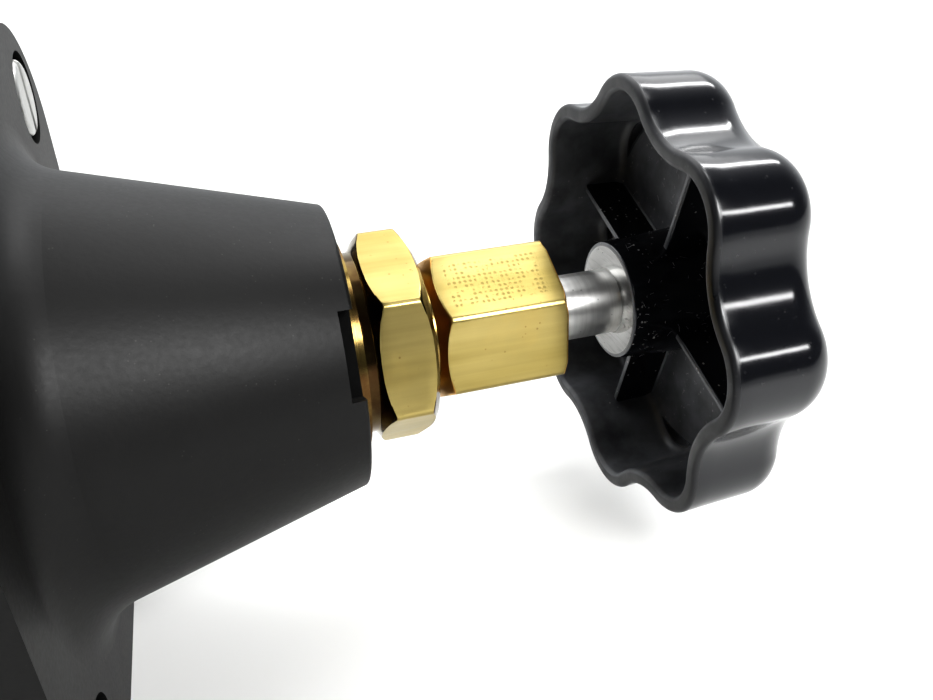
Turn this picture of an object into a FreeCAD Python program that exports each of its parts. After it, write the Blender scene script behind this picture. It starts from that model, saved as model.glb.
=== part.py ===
import FreeCAD, Part
import math
import os
import re

import Sketcher

# Flow control valve with a lobed handwheel: a needle valve cartridge that passes through a
# conical bonnet, which is screwed to a drilled body with an inlet, an outlet and a check valve.
#
# Frame: X runs along the stem towards the handwheel, Y across from the inlet side to the
# outlet side, Z up. The origin is the centre of the body's base face. Millimetres.

DIMENSIONS = {
    # fits and margins that many pieces share
    "overshoot": 1.0,             # how far a cutter runs past a face
    "close_fit": 0.05,
    "snap_fit": 0.02,
    "seal_slack": 0.1,
    "washer_slack": 0.2,
    # body, gasket and bonnet flange: one rounded-square section
    "axis_height": 34.0,          # stem axis above the base, which is half the square's side
    "corner_radius": 14.0,
    "body_half_length": 30.0,
    "gasket_thickness": 1.0,
    "gasket_inset": 0.3,
    "flange_thickness": 10.0,
    "flange_foot_fillet": 5.5,
    # bonnet cone and nose
    "cone_base_radius": 23.8,
    "nose_radius": 16.0,
    "nose_face": 70.7,
    "nose_bore_radius": 8.1,
    "nose_edge_fillet": 0.5,
    "notch_width": 9.0,
    "notch_depth": 1.6,
    "notch_floor_radius": 12.0,
    "notch_angle": 65.5,          # from straight up, towards the inlet side
    "cavity_radius": 11.0,
    "cavity_end": 60.0,
    "spigot_radius": 12.9,
    "spigot_start": 25.5,
    # bonnet screws, on a square
    "screw_offset": 25.2,
    "screw_counterbore_radius": 5.2,
    "screw_counterbore_depth": 5.0,
    "screw_clearance_radius": 2.75,
    "screw_radius": 2.45,
    "screw_hole_radius": 2.5,
    "screw_hole_depth": 14.0,
    "screw_length": 18.0,
    "screw_head_radius": 4.3,
    "screw_head_height": 3.9,
    "screw_slot_width": 1.2,
    "screw_slot_depth": 1.4,
    "lock_washer_thickness": 1.2,
    "lock_washer_radius": 4.2,
    "lock_washer_gap": 1.0,
    # body drillings
    "main_bore_radius": 9.0,
    "main_bore_floor": -2.0,
    "spigot_bore_radius": 13.0,
    "spigot_bore_floor": 25.0,
    "seat_bore_radius": 6.5,
    "seat_bore_floor": -10.0,
    "gallery_radius": 4.0,
    "gallery_end": -22.0,
    "port_radius": 5.9,
    "port_depth": 14.0,
    "port_chamfer": 0.9,
    "spotface_radius": 10.5,
    "spotface_depth": 0.6,
    "inlet_place": -16.0,
    "outlet_place": 10.0,
    "base_hole_radius": 2.5,
    "base_hole_depth": 12.0,
    "base_hole_along": 20.0,
    "base_hole_across": 14.0,
    # check valve, parallel to the stem on the outlet side
    "check_offset": 20.0,
    "check_seat_radius": 2.5,
    "check_seat_place": -6.0,
    "check_bore_radius": 3.8,
    "ball_radius": 3.0,
    "ball_gap": 0.03,
    "plug_radius": 6.0,
    "plug_face": -22.0,
    "plug_head_radius": 7.6,
    "plug_head_height": 3.0,
    "plug_seal_thickness": 0.8,
    "plug_socket_flats": 6.0,
    "plug_socket_depth": 4.0,
    "spring_wire_radius": 0.35,
    "spring_coil_radius": 2.3,
    "spring_turns": 6.0,
    "spring_end_gap": 0.05,
    # seat ring
    "seat_top": 1.5,
    "seat_flange_radius": 8.6,
    "seat_thread_radius": 6.45,
    "seat_orifice_radius": 2.5,
    "seat_washer_thickness": 0.8,
    "seat_thread_relief": 0.5,
    # needle tip
    "needle_radius": 3.6,
    "needle_shoulder": 11.8,
    "needle_end": -0.2,
    "needle_point_radius": 1.0,
    "needle_top": 16.0,
    "needle_shank_radius": 2.0,
    "needle_shank_top": 24.0,
    "needle_groove_radius": 1.5,
    "ring_place": 20.5,
    "ring_width": 1.0,
    "ring_stand": 0.5,            # how far the needle's ring stands proud of its shank
    "ring_slack": 0.1,
    "ring_gap": 1.6,
    # stem
    "stem_radius": 4.0,
    "stem_start": 16.1,
    "stem_thread_radius": 4.95,
    "stem_thread_start": 46.0,
    "stem_thread_end": 58.5,
    "stem_shoulder": 104.0,
    "stem_spigot_radius": 3.0,
    "stem_spigot_flat": 2.4,
    "stem_end": 120.2,
    "stop_ring_place": 29.8,
    "stop_ring_width": 1.0,
    "stop_groove_radius": 3.3,
    "stop_ring_radius": 6.0,
    "stop_ring_mouth": 4.8,
    "socket_relief": 0.5,
    # bushing
    "bushing_start": 34.0,
    "bushing_radius": 7.9,
    "bushing_collar_radius": 10.4,
    "bushing_collar_start": 53.0,
    "bushing_seal_thickness": 1.0,
    "bushing_neck_start": 79.4,
    "bushing_neck_radius": 6.8,
    "gland_thread_start": 81.0,
    "gland_thread_radius": 5.9,
    "bushing_end": 91.5,
    "drive_thread_radius": 5.0,
    "drive_thread_start": 44.0,
    "drive_thread_end": 62.0,
    "drive_thread_relief": 0.3,
    "stem_guide_radius": 4.05,
    "packing_floor": 84.0,
    "packing_radius": 5.2,
    # jam washer and jam nut
    "jam_washer_radius": 12.0,
    "jam_washer_thickness": 0.9,
    "jam_nut_flats": 21.7,
    "jam_nut_start": 71.6,
    "jam_nut_end": 79.5,
    "jam_nut_boss_radius": 10.4,
    "jam_nut_boss_length": 1.3,
    "jam_nut_angle": 14.5,        # of a corner, from straight up towards the outlet side
    # packing nut
    "packing_nut_flats": 15.875,
    "packing_nut_start": 80.5,
    "packing_nut_end": 95.4,
    "packing_nut_roof": 93.0,
    "packing_nut_face_radius": 7.0,
    "packing_nut_end_margin": 0.55,
    "packing_nut_angle": 3.0,
    # stem packing
    "packing_washer_thickness": 1.0,
    "packing_ring_thickness": 1.5,
    # handwheel
    "wheel_rim_offset": 0.6,
    "wheel_depth": 13.2,
    "wheel_crest_radius": 27.0,
    "wheel_lobe_radius": 7.5,
    "wheel_valley_radius": 23.8,
    "wheel_wall": 1.9,
    "wheel_draft": 2.5,
    "wheel_front_fillet": 4.6,
    "wheel_rim_fillet": 0.6,
    "wheel_cavity_depth": 10.8,
    "wheel_cavity_fillet": 1.5,
    "wheel_hub_radius": 7.25,
    "wheel_hub_draft": 3.0,
    "wheel_rib_height": 5.6,
    "wheel_rib_width": 1.1,
    "wheel_rib_reach": 22.4,
    "wheel_overlap": 0.2,         # how far the hub and ribs run into the floor
    "wheel_recess_radius": 6.2,
    "wheel_recess_depth": 3.5,
    "wheel_bore_radius": 3.05,
    "wheel_bore_flat": 2.45,
    "wheel_turn": -3.0,           # how the wheel stands at rest
    "wheel_washer_radius": 5.9,
    "wheel_washer_thickness": 1.0,
    "wheel_nut_flats": 10.0,
    "wheel_nut_height": 4.0,
    "wheel_nut_face_margin": 0.1,
}
LOBES = 8
SHEET = "dims"

doc = FreeCAD.newDocument("flow_control_valve")
sheet = doc.addObject("Spreadsheet::Sheet", SHEET)
for row, (word, value) in enumerate(DIMENSIONS.items(), start=1):
    sheet.set("A%d" % row, word.replace("_", " "))
    sheet.set("B%d" % row, str(value))
    sheet.setAlias("B%d" % row, word)
doc.recompute()


NODES = []


def label(obj, node):
    """Name a finished piece and list it for writing."""
    obj.Label = node
    NODES.append(obj)
    return obj


def size(word):
    """A dimension's value, read back from the sheet."""
    return float(sheet.get(word))


def formula(text):
    """An expression in which each dimension's name points at the sheet."""
    return re.sub(r"[a-z][a-z_]+", lambda m: SHEET + "." + m[0] if m[0] in DIMENSIONS else m[0], text)


def worth(text):
    """The value of an expression of dimensions."""
    return float(sheet.evalExpression(formula(text)))


def bind(obj, **sizes):
    """Bind an object's properties to expressions on the sheet."""
    for name, text in sizes.items():
        obj.setExpression(name.replace("__", "."), formula(text))
    return obj


def place(obj, x="0", y="0", z="axis_height", along="X"):
    """Stand an object's own Z along X, Y or Z, at a point given by expressions."""
    turn = {
        "X": FreeCAD.Rotation(FreeCAD.Vector(0, 1, 0), 90),
        "Y": FreeCAD.Rotation(FreeCAD.Vector(1, 0, 0), -90),
        "Z": FreeCAD.Rotation(),
    }[along]
    obj.Placement = FreeCAD.Placement(FreeCAD.Vector(), turn)
    return bind(obj, Placement__Base__x=x, Placement__Base__y=y, Placement__Base__z=z)


def rod(name, radius, start, end, along="X", **where):
    """A round bar from start to end along one axis."""
    obj = doc.addObject("Part::Cylinder", name)
    bind(obj, Radius=radius, Height="(%s) - (%s)" % (end, start))
    return place(obj, along=along, **{along.lower(): start}, **where)


def cone(name, start_radius, end_radius, start, end, along="X", **where):
    """A conical bar from start to end along one axis."""
    obj = doc.addObject("Part::Cone", name)
    bind(obj, Radius1=start_radius, Radius2=end_radius, Height="(%s) - (%s)" % (end, start))
    return place(obj, along=along, **{along.lower(): start}, **where)


def fuse(name, *shapes):
    obj = doc.addObject("Part::MultiFuse", name)
    obj.Shapes = list(shapes)
    obj.Refine = True
    return obj


def cut(name, base, *tools):
    obj = doc.addObject("Part::Cut", name)
    obj.Base = base
    obj.Tool = tools[0] if len(tools) == 1 else fuse(name + "_tools", *tools)
    obj.Refine = True
    return obj


def common(name, *shapes):
    obj = doc.addObject("Part::MultiCommon", name)
    obj.Shapes = list(shapes)
    obj.Refine = True
    return obj


def compound(name, pieces):
    obj = doc.addObject("Part::Compound", name)
    obj.Links = pieces
    return obj


def ring(name, outer, inner, start, end, along="X", **where):
    """A washer or a plain ring."""
    return cut(
        name,
        rod(name + "_disc", outer, start, end, along, **where),
        rod(name + "_hole", inner, "(%s) - overshoot" % start, "(%s) + overshoot" % end, along, **where),
    )


def box(name, x, y, z):
    """A box given by its low and high expressions along each axis."""
    obj = doc.addObject("Part::Box", name)
    bind(
        obj,
        Length="(%s) - (%s)" % (x[1], x[0]),
        Width="(%s) - (%s)" % (y[1], y[0]),
        Height="(%s) - (%s)" % (z[1], z[0]),
        Placement__Base__x=x[0],
        Placement__Base__y=y[0],
        Placement__Base__z=z[0],
    )
    return obj


def rounded_square(name, start, end, inset="0"):
    """The square section with round corners that the body, gasket and flange share."""
    half = "(axis_height - %s)" % inset
    flat = "(axis_height - corner_radius)"
    low, high = "axis_height - %s" % half, "axis_height + %s" % half
    bars = [
        box(name + "_tall", (start, end), ("-" + flat, flat), (low, high)),
        box(name + "_wide", (start, end), ("-" + half, half), ("corner_radius", "axis_height + " + flat)),
    ]
    for side in (-1, 1):
        for level in (-1, 1):
            corner = rod(
                "%s_corner_%d_%d" % (name, side + 1, level + 1),
                "corner_radius - " + inset, start, end,
                y="%d * %s" % (side, flat), z="axis_height + %d * %s" % (level, flat),
            )
            bars.append(corner)
    return fuse(name, *bars)


def at_screws(maker, name):
    """One copy of a piece at each bonnet screw."""
    pieces = []
    for number, (side, level) in enumerate(((-1, -1), (-1, 1), (1, -1), (1, 1)), start=1):
        pieces.append(maker(
            "%s_%d" % (name, number),
            "%d * screw_offset" % side,
            "axis_height + %d * screw_offset" % level,
        ))
    return pieces


def hexagon(name, flats, start, end, angle=None):
    """A hexagonal bar along X with a corner at an angle from straight up, towards the outlet."""
    obj = doc.addObject("Part::Prism", name)
    obj.Polygon = 6
    bind(obj, Circumradius="(%s) / sqrt(3)" % flats, Height="(%s) - (%s)" % (end, start))
    upright = FreeCAD.Rotation(FreeCAD.Vector(0, 1, 0), 90)
    roll = FreeCAD.Rotation(FreeCAD.Vector(1, 0, 0), -size(angle) if angle else 0)
    obj.Placement = FreeCAD.Placement(FreeCAD.Vector(), roll * upright)
    return bind(obj, Placement__Base__x=start, Placement__Base__z="axis_height")


def chamfered_hexagon(name, flats, start, end, angle, face_radius, end_face_radius):
    """A hexagonal bar whose corners are turned off at 30 degrees at both ends."""
    corner = "(%s) / sqrt(3)" % flats
    slope = "tan(30 deg)"
    lead_in = "((%s) - (%s)) * %s" % (corner, face_radius, slope)
    lead_out = "((%s) - (%s)) * %s" % (corner, end_face_radius, slope)
    turned = fuse(
        name + "_turned",
        cone(name + "_lead_in", face_radius, corner, start, "%s + %s" % (start, lead_in)),
        rod(name + "_middle", corner, "%s + %s" % (start, lead_in), "%s - %s" % (end, lead_out)),
        cone(name + "_lead_out", corner, end_face_radius, "%s - %s" % (end, lead_out), end),
    )
    return common(name, hexagon(name + "_bar", flats, start, end, angle), turned)


def pick_edges(shape, test):
    """Numbers of the edges whose centre passes a test."""
    return [number for number, edge in enumerate(shape.Edges, start=1) if test(edge)]


def fillet(name, base, radius, test):
    """Round the edges of a shape that pass a test."""
    doc.recompute()
    obj = doc.addObject("Part::Fillet", name)
    obj.Base = base
    obj.Edges = [(number, radius, radius) for number in pick_edges(base.Shape, test)]
    return obj


def circle_edge(x, radius):
    """A test for a full circle about the stem axis."""
    def test(edge):
        curve = edge.Curve
        if not isinstance(curve, Part.Circle):
            return False
        centre = curve.Center
        on_axis = abs(centre.y) < 0.01 and abs(centre.z - size("axis_height")) < 0.01
        return on_axis and abs(centre.x - x) < 0.01 and abs(curve.Radius - radius) < 0.05
    return test


# ---------------------------------------------------------------- body and its drillings

def make_valve_body():
    block = rounded_square("body_block", "-body_half_length", "body_half_length")
    check = {"y": "check_offset", "z": "axis_height"}
    holes = [
        rod("main_bore", "main_bore_radius", "main_bore_floor", "body_half_length + overshoot"),
        rod("spigot_bore", "spigot_bore_radius", "spigot_bore_floor", "body_half_length + overshoot"),
        rod("seat_bore", "seat_bore_radius", "seat_bore_floor", "main_bore_floor + overshoot"),
        rod("inlet_gallery", "gallery_radius", "gallery_end", "seat_bore_floor + overshoot"),
        rod(
            "check_passage", "check_seat_radius", "check_seat_place - overshoot",
            "outlet_place - gallery_radius", **check,
        ),
        rod("check_bore", "check_bore_radius", "plug_face - overshoot", "check_seat_place", **check),
        rod("plug_bore", "plug_radius + close_fit", "-body_half_length - overshoot", "plug_face", **check),
        rod("inlet_cross", "gallery_radius", "-axis_height + port_depth - overshoot", "check_offset",
            along="Y", x="inlet_place"),
        rod("outlet_cross", "gallery_radius", "0", "axis_height - port_depth + overshoot",
            along="Y", x="outlet_place"),
    ]
    for name, place_x, side in (("inlet", "inlet_place", -1), ("outlet", "outlet_place", 1)):
        face = "%d * axis_height" % side
        depths = {
            "port": ("port_radius", "port_depth"),
            "spotface": ("spotface_radius", "spotface_depth"),
        }
        for kind, (radius, depth) in depths.items():
            ends = (face + " - %d * %s" % (side, depth), face + " + %d * overshoot" % side)
            low, high = ends if side > 0 else ends[::-1]
            holes.append(rod("%s_%s" % (name, kind), radius, low, high, along="Y", x=place_x))
        rim = face + " - %d * spotface_depth" % side
        inside = rim + " - %d * port_chamfer" % side
        wide, narrow = "port_radius + port_chamfer", "port_radius"
        if side > 0:
            holes.append(cone(name + "_chamfer", narrow, wide, inside, rim, along="Y", x=place_x))
        else:
            holes.append(cone(name + "_chamfer", wide, narrow, rim, inside, along="Y", x=place_x))
    holes += at_screws(
        lambda name, y, z: rod(
            name, "screw_hole_radius", "body_half_length - screw_hole_depth",
            "body_half_length + overshoot", y=y, z=z,
        ),
        "screw_hole",
    )
    for end in (-1, 1):
        for side in (-1, 1):
            holes.append(rod(
                "base_hole_%d_%d" % (end + 1, side + 1), "base_hole_radius", "-overshoot", "base_hole_depth",
                along="Z", x="%d * base_hole_along" % end, y="%d * base_hole_across" % side,
            ))
    return label(cut("body_drilled", block, *holes), "valve_body")


def make_bonnet_gasket():
    start, end = "body_half_length", "body_half_length + gasket_thickness"
    holes = at_screws(
        lambda name, y, z: rod(
            name, "screw_clearance_radius + seal_slack",
            start + " - overshoot", end + " + overshoot", y=y, z=z,
        ),
        "gasket_hole",
    )
    bore = rod(
        "gasket_bore", "spigot_bore_radius + washer_slack", start + " - overshoot", end + " + overshoot",
    )
    sheet_piece = rounded_square("gasket_sheet", start, end, "gasket_inset")
    return label(cut("gasket_cut", sheet_piece, bore, *holes), "bonnet_gasket")


def make_bonnet():
    back = "(body_half_length + gasket_thickness)"
    front = "(%s + flange_thickness)" % back
    front_value = size("body_half_length") + size("gasket_thickness") + size("flange_thickness")
    outside = fuse(
        "bonnet_outside",
        rounded_square("bonnet_flange", back, front),
        cone("bonnet_cone", "cone_base_radius", "nose_radius", front, "nose_face"),
        rod("bonnet_spigot", "spigot_radius", "spigot_start", back),
    )
    footed = fillet(
        "bonnet_foot", outside, size("flange_foot_fillet"),
        circle_edge(front_value, size("cone_base_radius")),
    )
    rimmed = fillet(
        "bonnet_rim", footed, size("nose_edge_fillet"),
        circle_edge(size("nose_face"), size("nose_radius")),
    )
    notch = box(
        "bonnet_notch",
        ("nose_face - notch_depth", "nose_face + overshoot"),
        ("-notch_width / 2", "notch_width / 2"),
        ("notch_floor_radius", "nose_radius + notch_depth + overshoot"),
    )
    angle = size("notch_angle")
    turn = FreeCAD.Rotation(FreeCAD.Vector(1, 0, 0), angle)
    corner = turn.multVec(FreeCAD.Vector(0, -size("notch_width") / 2, size("notch_floor_radius")))
    notch.setExpression("Placement.Base.y", None)
    notch.setExpression("Placement.Base.z", None)
    notch.Placement = FreeCAD.Placement(
        FreeCAD.Vector(size("nose_face") - size("notch_depth"), corner.y, corner.z + size("axis_height")),
        turn,
    )
    holes = [
        rod("bonnet_bore", "nose_bore_radius", "cavity_end - overshoot", "nose_face + overshoot"),
        rod("bonnet_cavity", "cavity_radius", "spigot_start - overshoot", "cavity_end"),
        notch,
    ]
    holes += at_screws(
        lambda name, y, z: rod(
            name, "screw_clearance_radius", back + " - overshoot", front + " + overshoot", y=y, z=z,
        ),
        "bonnet_screw_hole",
    )
    holes += at_screws(
        lambda name, y, z: rod(
            name, "screw_counterbore_radius", front + " - screw_counterbore_depth",
            front + " + overshoot", y=y, z=z,
        ),
        "bonnet_counterbore",
    )
    return label(cut("bonnet_drilled", rimmed, *holes), "bonnet")


# ---------------------------------------------------------------- screws and lock washers

SCREW_FLOOR = "(body_half_length + gasket_thickness + flange_thickness - screw_counterbore_depth)"
SCREW_SEAT = "(%s + lock_washer_thickness)" % SCREW_FLOOR


def make_bonnet_screws():
    def screw(name, y, z):
        top = "(%s + screw_head_height)" % SCREW_SEAT
        head = rod(name + "_head", "screw_head_radius", SCREW_SEAT, top, y=y, z=z)
        shank = rod(name + "_shank", "screw_radius", SCREW_SEAT + " - screw_length", SCREW_SEAT, y=y, z=z)
        slot = box(
            name + "_slot",
            (top + " - screw_slot_depth", top + " + overshoot"),
            (y + " - screw_slot_width / 2", y + " + screw_slot_width / 2"),
            (z + " - screw_head_radius - overshoot", z + " + screw_head_radius + overshoot"),
        )
        return cut(name, fuse(name + "_blank", head, shank), slot)
    return label(compound("screws", at_screws(screw, "screw")), "bonnet_screws")


def make_screw_lock_washers():
    def washer(name, y, z):
        disc = ring(
            name + "_ring", "lock_washer_radius", "screw_radius + washer_slack",
            SCREW_FLOOR, SCREW_SEAT, y=y, z=z,
        )
        split = box(
            name + "_split",
            (SCREW_FLOOR + " - overshoot", SCREW_SEAT + " + overshoot"),
            (y + " - lock_washer_gap / 2", y + " + lock_washer_gap / 2"),
            (z, z + " + lock_washer_radius + overshoot"),
        )
        return cut(name, disc, split)
    return label(compound("lock_washers", at_screws(washer, "lock_washer")), "screw_lock_washers")


# ---------------------------------------------------------------- cartridge

def make_stem_bushing():
    collar_end = "(cavity_end - bushing_seal_thickness)"
    outside = fuse(
        "bushing_outside",
        rod("bushing_shank", "bushing_radius", "bushing_start", "bushing_neck_start"),
        rod("bushing_collar", "bushing_collar_radius", "bushing_collar_start", collar_end),
        rod("bushing_neck", "bushing_neck_radius", "bushing_neck_start", "gland_thread_start"),
        rod("bushing_gland_thread", "gland_thread_radius", "gland_thread_start", "bushing_end"),
    )
    return label(cut(
        "bushing_bored", outside,
        rod(
            "bushing_relief", "drive_thread_radius + drive_thread_relief", "bushing_start - overshoot",
            "drive_thread_start",
        ),
        rod(
            "bushing_drive_thread", "drive_thread_radius", "drive_thread_start - overshoot",
            "drive_thread_end",
        ),
        rod(
            "bushing_guide", "stem_guide_radius", "drive_thread_end - overshoot", "packing_floor + overshoot",
        ),
        rod("bushing_packing_bore", "packing_radius", "packing_floor", "bushing_end + overshoot"),
    ), "stem_bushing")


def make_bushing_seal():
    return label(ring(
        "bushing_seal_ring", "bushing_collar_radius", "bushing_radius + seal_slack",
        "cavity_end - bushing_seal_thickness", "cavity_end",
    ), "bushing_seal")


def make_jam_washer():
    return label(ring(
        "jam_washer_ring", "jam_washer_radius", "bushing_radius + washer_slack",
        "nose_face", "nose_face + jam_washer_thickness",
    ), "jam_washer")


def make_jam_nut():
    hex_start = "(jam_nut_start + jam_nut_boss_length)"
    blank = fuse(
        "jam_nut_blank",
        rod("jam_nut_boss", "jam_nut_boss_radius", "jam_nut_start", hex_start),
        chamfered_hexagon(
            "jam_nut_hexagon", "jam_nut_flats", hex_start, "jam_nut_end", "jam_nut_angle",
            "jam_nut_boss_radius", "jam_nut_boss_radius",
        ),
    )
    bore = rod(
        "jam_nut_bore", "bushing_radius + close_fit", "jam_nut_start - overshoot", "jam_nut_end + overshoot",
    )
    return label(cut("jam_nut_bored", blank, bore), "jam_nut")


def make_packing_nut():
    blank = chamfered_hexagon(
        "packing_nut_hexagon", "packing_nut_flats", "packing_nut_start", "packing_nut_end",
        "packing_nut_angle", "packing_nut_face_radius", "packing_nut_flats / 2 + packing_nut_end_margin",
    )
    return label(cut(
        "packing_nut_bored", blank,
        rod(
            "packing_nut_neck", "bushing_neck_radius + close_fit", "packing_nut_start - overshoot",
            "gland_thread_start",
        ),
        rod(
            "packing_nut_thread", "gland_thread_radius + close_fit",
            "gland_thread_start - overshoot", "packing_nut_roof",
        ),
        rod(
            "packing_nut_hole", "stem_guide_radius + close_fit", "packing_nut_roof - overshoot",
            "packing_nut_end + overshoot",
        ),
    ), "packing_nut")


def make_packing():
    """Washer, three soft rings and a gland follower, one on the other."""
    outer, inner = "packing_radius - close_fit", "stem_guide_radius"
    base = "(packing_floor + packing_washer_thickness)"
    label(ring("packing_washer_ring", outer, inner, "packing_floor", base), "packing_washer")
    rings = []
    for number in range(3):
        low = "(%s + %d * packing_ring_thickness)" % (base, number)
        rings.append(
            ring("packing_ring_%d" % (number + 1), outer, inner, low, low + " + packing_ring_thickness"),
        )
    label(compound("packing_rings", rings), "stem_packing")
    top = "(%s + 3 * packing_ring_thickness)" % base
    label(ring("gland_follower_ring", outer, inner, top, "packing_nut_roof"), "gland_follower")


def make_seat():
    washer_top = "(main_bore_floor + seat_washer_thickness)"
    label(ring(
        "seat_washer_ring", "seat_flange_radius",
        "seat_thread_radius + seal_slack", "main_bore_floor", washer_top,
    ), "seat_washer")
    blank = fuse(
        "seat_blank",
        rod("seat_flange", "seat_flange_radius", washer_top, "seat_top"),
        rod("seat_thread", "seat_thread_radius", "seat_bore_floor + seat_thread_relief", washer_top),
    )
    orifice = rod(
        "seat_orifice", "seat_orifice_radius", "seat_bore_floor - overshoot", "seat_top + overshoot",
    )
    label(cut("seat_bored", blank, orifice), "seat_ring")


def make_needle_tip():
    blank = fuse(
        "needle_blank",
        cone("needle_cone", "needle_point_radius", "needle_radius", "needle_end", "needle_shoulder"),
        rod("needle_body", "needle_radius", "needle_shoulder", "needle_top"),
        rod("needle_shank", "needle_shank_radius", "needle_top", "needle_shank_top"),
    )
    groove = ring(
        "needle_groove", "needle_shank_radius + overshoot", "needle_groove_radius",
        "ring_place - ring_slack", "ring_place + ring_width + ring_slack",
    )
    return label(cut("needle_turned", blank, groove), "needle_tip")


# ---------------------------------------------------------------- stem

def origin_plane(body, role):
    return [feature for feature in body.Origin.OriginFeatures if feature.Role == role][0]


def sketch_on(body, role, name):
    sketch = body.newObject("Sketcher::SketchObject", name)
    sketch.AttachmentSupport = [(origin_plane(body, role), "")]
    sketch.MapMode = "FlatFace"
    return sketch


def driven(sketch, name, text, *constraint):
    """A named constraint whose value follows an expression of dimensions."""
    number = sketch.addConstraint(Sketcher.Constraint(*constraint, worth(text)))
    sketch.renameConstraint(number, name)
    sketch.setExpression("Constraints." + name, formula(text))


def closed_loop(sketch, corners):
    """Straight lines from corner to corner and back to the first."""
    count = len(corners)
    for index in range(count):
        sketch.addGeometry(Part.LineSegment(corners[index], corners[(index + 1) % count]), False)
    for index in range(count):
        sketch.addConstraint(Sketcher.Constraint("Coincident", index, 2, (index + 1) % count, 1))


def turned_profile(sketch, stations):
    """A closed half profile about the sketch's X axis, its sizes bound to the sheet.

    stations lists (name, place, radius) expressions from one end to the other, and the profile
    steps from each radius to the next at the next station's place.
    """
    doc.recompute()
    end_place = stations[-1][1]
    corners = [FreeCAD.Vector(worth(stations[0][1]), 0, 0)]
    for (name, start, radius), following in zip(stations, stations[1:]):
        corners.append(FreeCAD.Vector(worth(start), worth(radius), 0))
        corners.append(FreeCAD.Vector(worth(following[1]), worth(radius), 0))
    corners.append(FreeCAD.Vector(worth(end_place), 0, 0))
    closed_loop(sketch, corners)
    count = len(corners)
    for index in range(count - 1):
        kind = "Vertical" if index % 2 == 0 else "Horizontal"
        sketch.addConstraint(Sketcher.Constraint(kind, index))
    sketch.addConstraint(Sketcher.Constraint("PointOnObject", 0, 1, -1))
    sketch.addConstraint(Sketcher.Constraint("PointOnObject", count - 1, 1, -1))
    for index, (name, start, radius) in enumerate(stations[:-1]):
        corner = 2 * index + 1
        driven(sketch, name + "_start", start, "DistanceX", -1, 1, corner, 1)
        driven(sketch, name + "_radius", radius, "DistanceY", -1, 1, corner, 1)
    driven(sketch, "end_place", end_place, "DistanceX", -1, 1, count - 2, 2)


def revolve(body, sketch, name, kind="PartDesign::Revolution"):
    feature = body.newObject(kind, name)
    feature.Profile = sketch
    feature.ReferenceAxis = (sketch, ["H_Axis"])
    feature.Angle = 360.0
    return feature


def make_stem():
    body = doc.addObject("PartDesign::Body", "stem_body")
    sketch = sketch_on(body, "XZ_Plane", "stem_profile")
    turned_profile(sketch, [
        ("foot", "stem_start", "stem_radius"),
        ("stop_groove", "stop_ring_place", "stop_groove_radius"),
        ("shank", "stop_ring_place + stop_ring_width", "stem_radius"),
        ("thread", "stem_thread_start", "stem_thread_radius"),
        ("spindle", "stem_thread_end", "stem_radius"),
        ("spigot", "stem_shoulder", "stem_spigot_radius"),
        ("end", "stem_end", "0"),
    ])
    revolve(body, sketch, "stem_turned")
    doc.recompute()
    socket = sketch_on(body, "XZ_Plane", "socket_profile")
    turned_profile(socket, [
        ("mouth", "stem_start - overshoot", "needle_shank_radius + close_fit"),
        ("ring_groove", "ring_place - close_fit", "needle_shank_radius + ring_stand + close_fit"),
        ("bottom", "ring_place + ring_width + close_fit", "needle_shank_radius + close_fit"),
        ("end", "needle_shank_top + socket_relief", "0"),
    ])
    revolve(body, socket, "stem_socket", "PartDesign::Groove")
    doc.recompute()
    flat = sketch_on(body, "YZ_Plane", "spigot_flat")
    low, high = worth("stem_spigot_flat"), worth("stem_spigot_radius + overshoot")
    corners = ((-high, low), (high, low), (high, high), (-high, high))
    closed_loop(flat, [FreeCAD.Vector(x, y, 0) for x, y in corners])
    for index in (0, 2):
        flat.addConstraint(Sketcher.Constraint("Horizontal", index))
        flat.addConstraint(Sketcher.Constraint("Vertical", index + 1))
    driven(flat, "flat_height", "stem_spigot_flat", "DistanceY", -1, 1, 0, 1)
    bind(flat, AttachmentOffset__Base__z="stem_shoulder")
    pocket = body.newObject("PartDesign::Pocket", "stem_flat")
    pocket.Profile = flat
    pocket.Reversed = True
    bind(pocket, Length="stem_end - stem_shoulder + overshoot")
    bind(body, Placement__Base__z="axis_height")
    return label(body, "stem")


def make_needle_ring():
    whole = ring(
        "needle_ring_whole", "needle_shank_radius + ring_stand", "needle_groove_radius + close_fit",
        "ring_place", "ring_place + ring_width",
    )
    gap = box(
        "needle_ring_gap", ("ring_place - overshoot", "ring_place + ring_width + overshoot"),
        ("-ring_gap / 2", "ring_gap / 2"), ("axis_height", "axis_height + needle_shank_radius + overshoot"),
    )
    return label(cut("needle_ring_split", whole, gap), "needle_ring")


def make_stop_ring():
    start, end = "stop_ring_place + close_fit", "stop_ring_place + stop_ring_width - close_fit"
    whole = ring("stop_ring_whole", "stop_ring_radius", "stop_groove_radius + snap_fit", start, end)
    mouth = box(
        "stop_ring_opening", (start + " - overshoot", end + " + overshoot"),
        ("-stop_ring_mouth / 2", "stop_ring_mouth / 2"),
        ("axis_height - stop_ring_radius - overshoot", "axis_height"),
    )
    return label(cut("stop_ring_split", whole, mouth), "stop_ring")


# ---------------------------------------------------------------- handwheel

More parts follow.
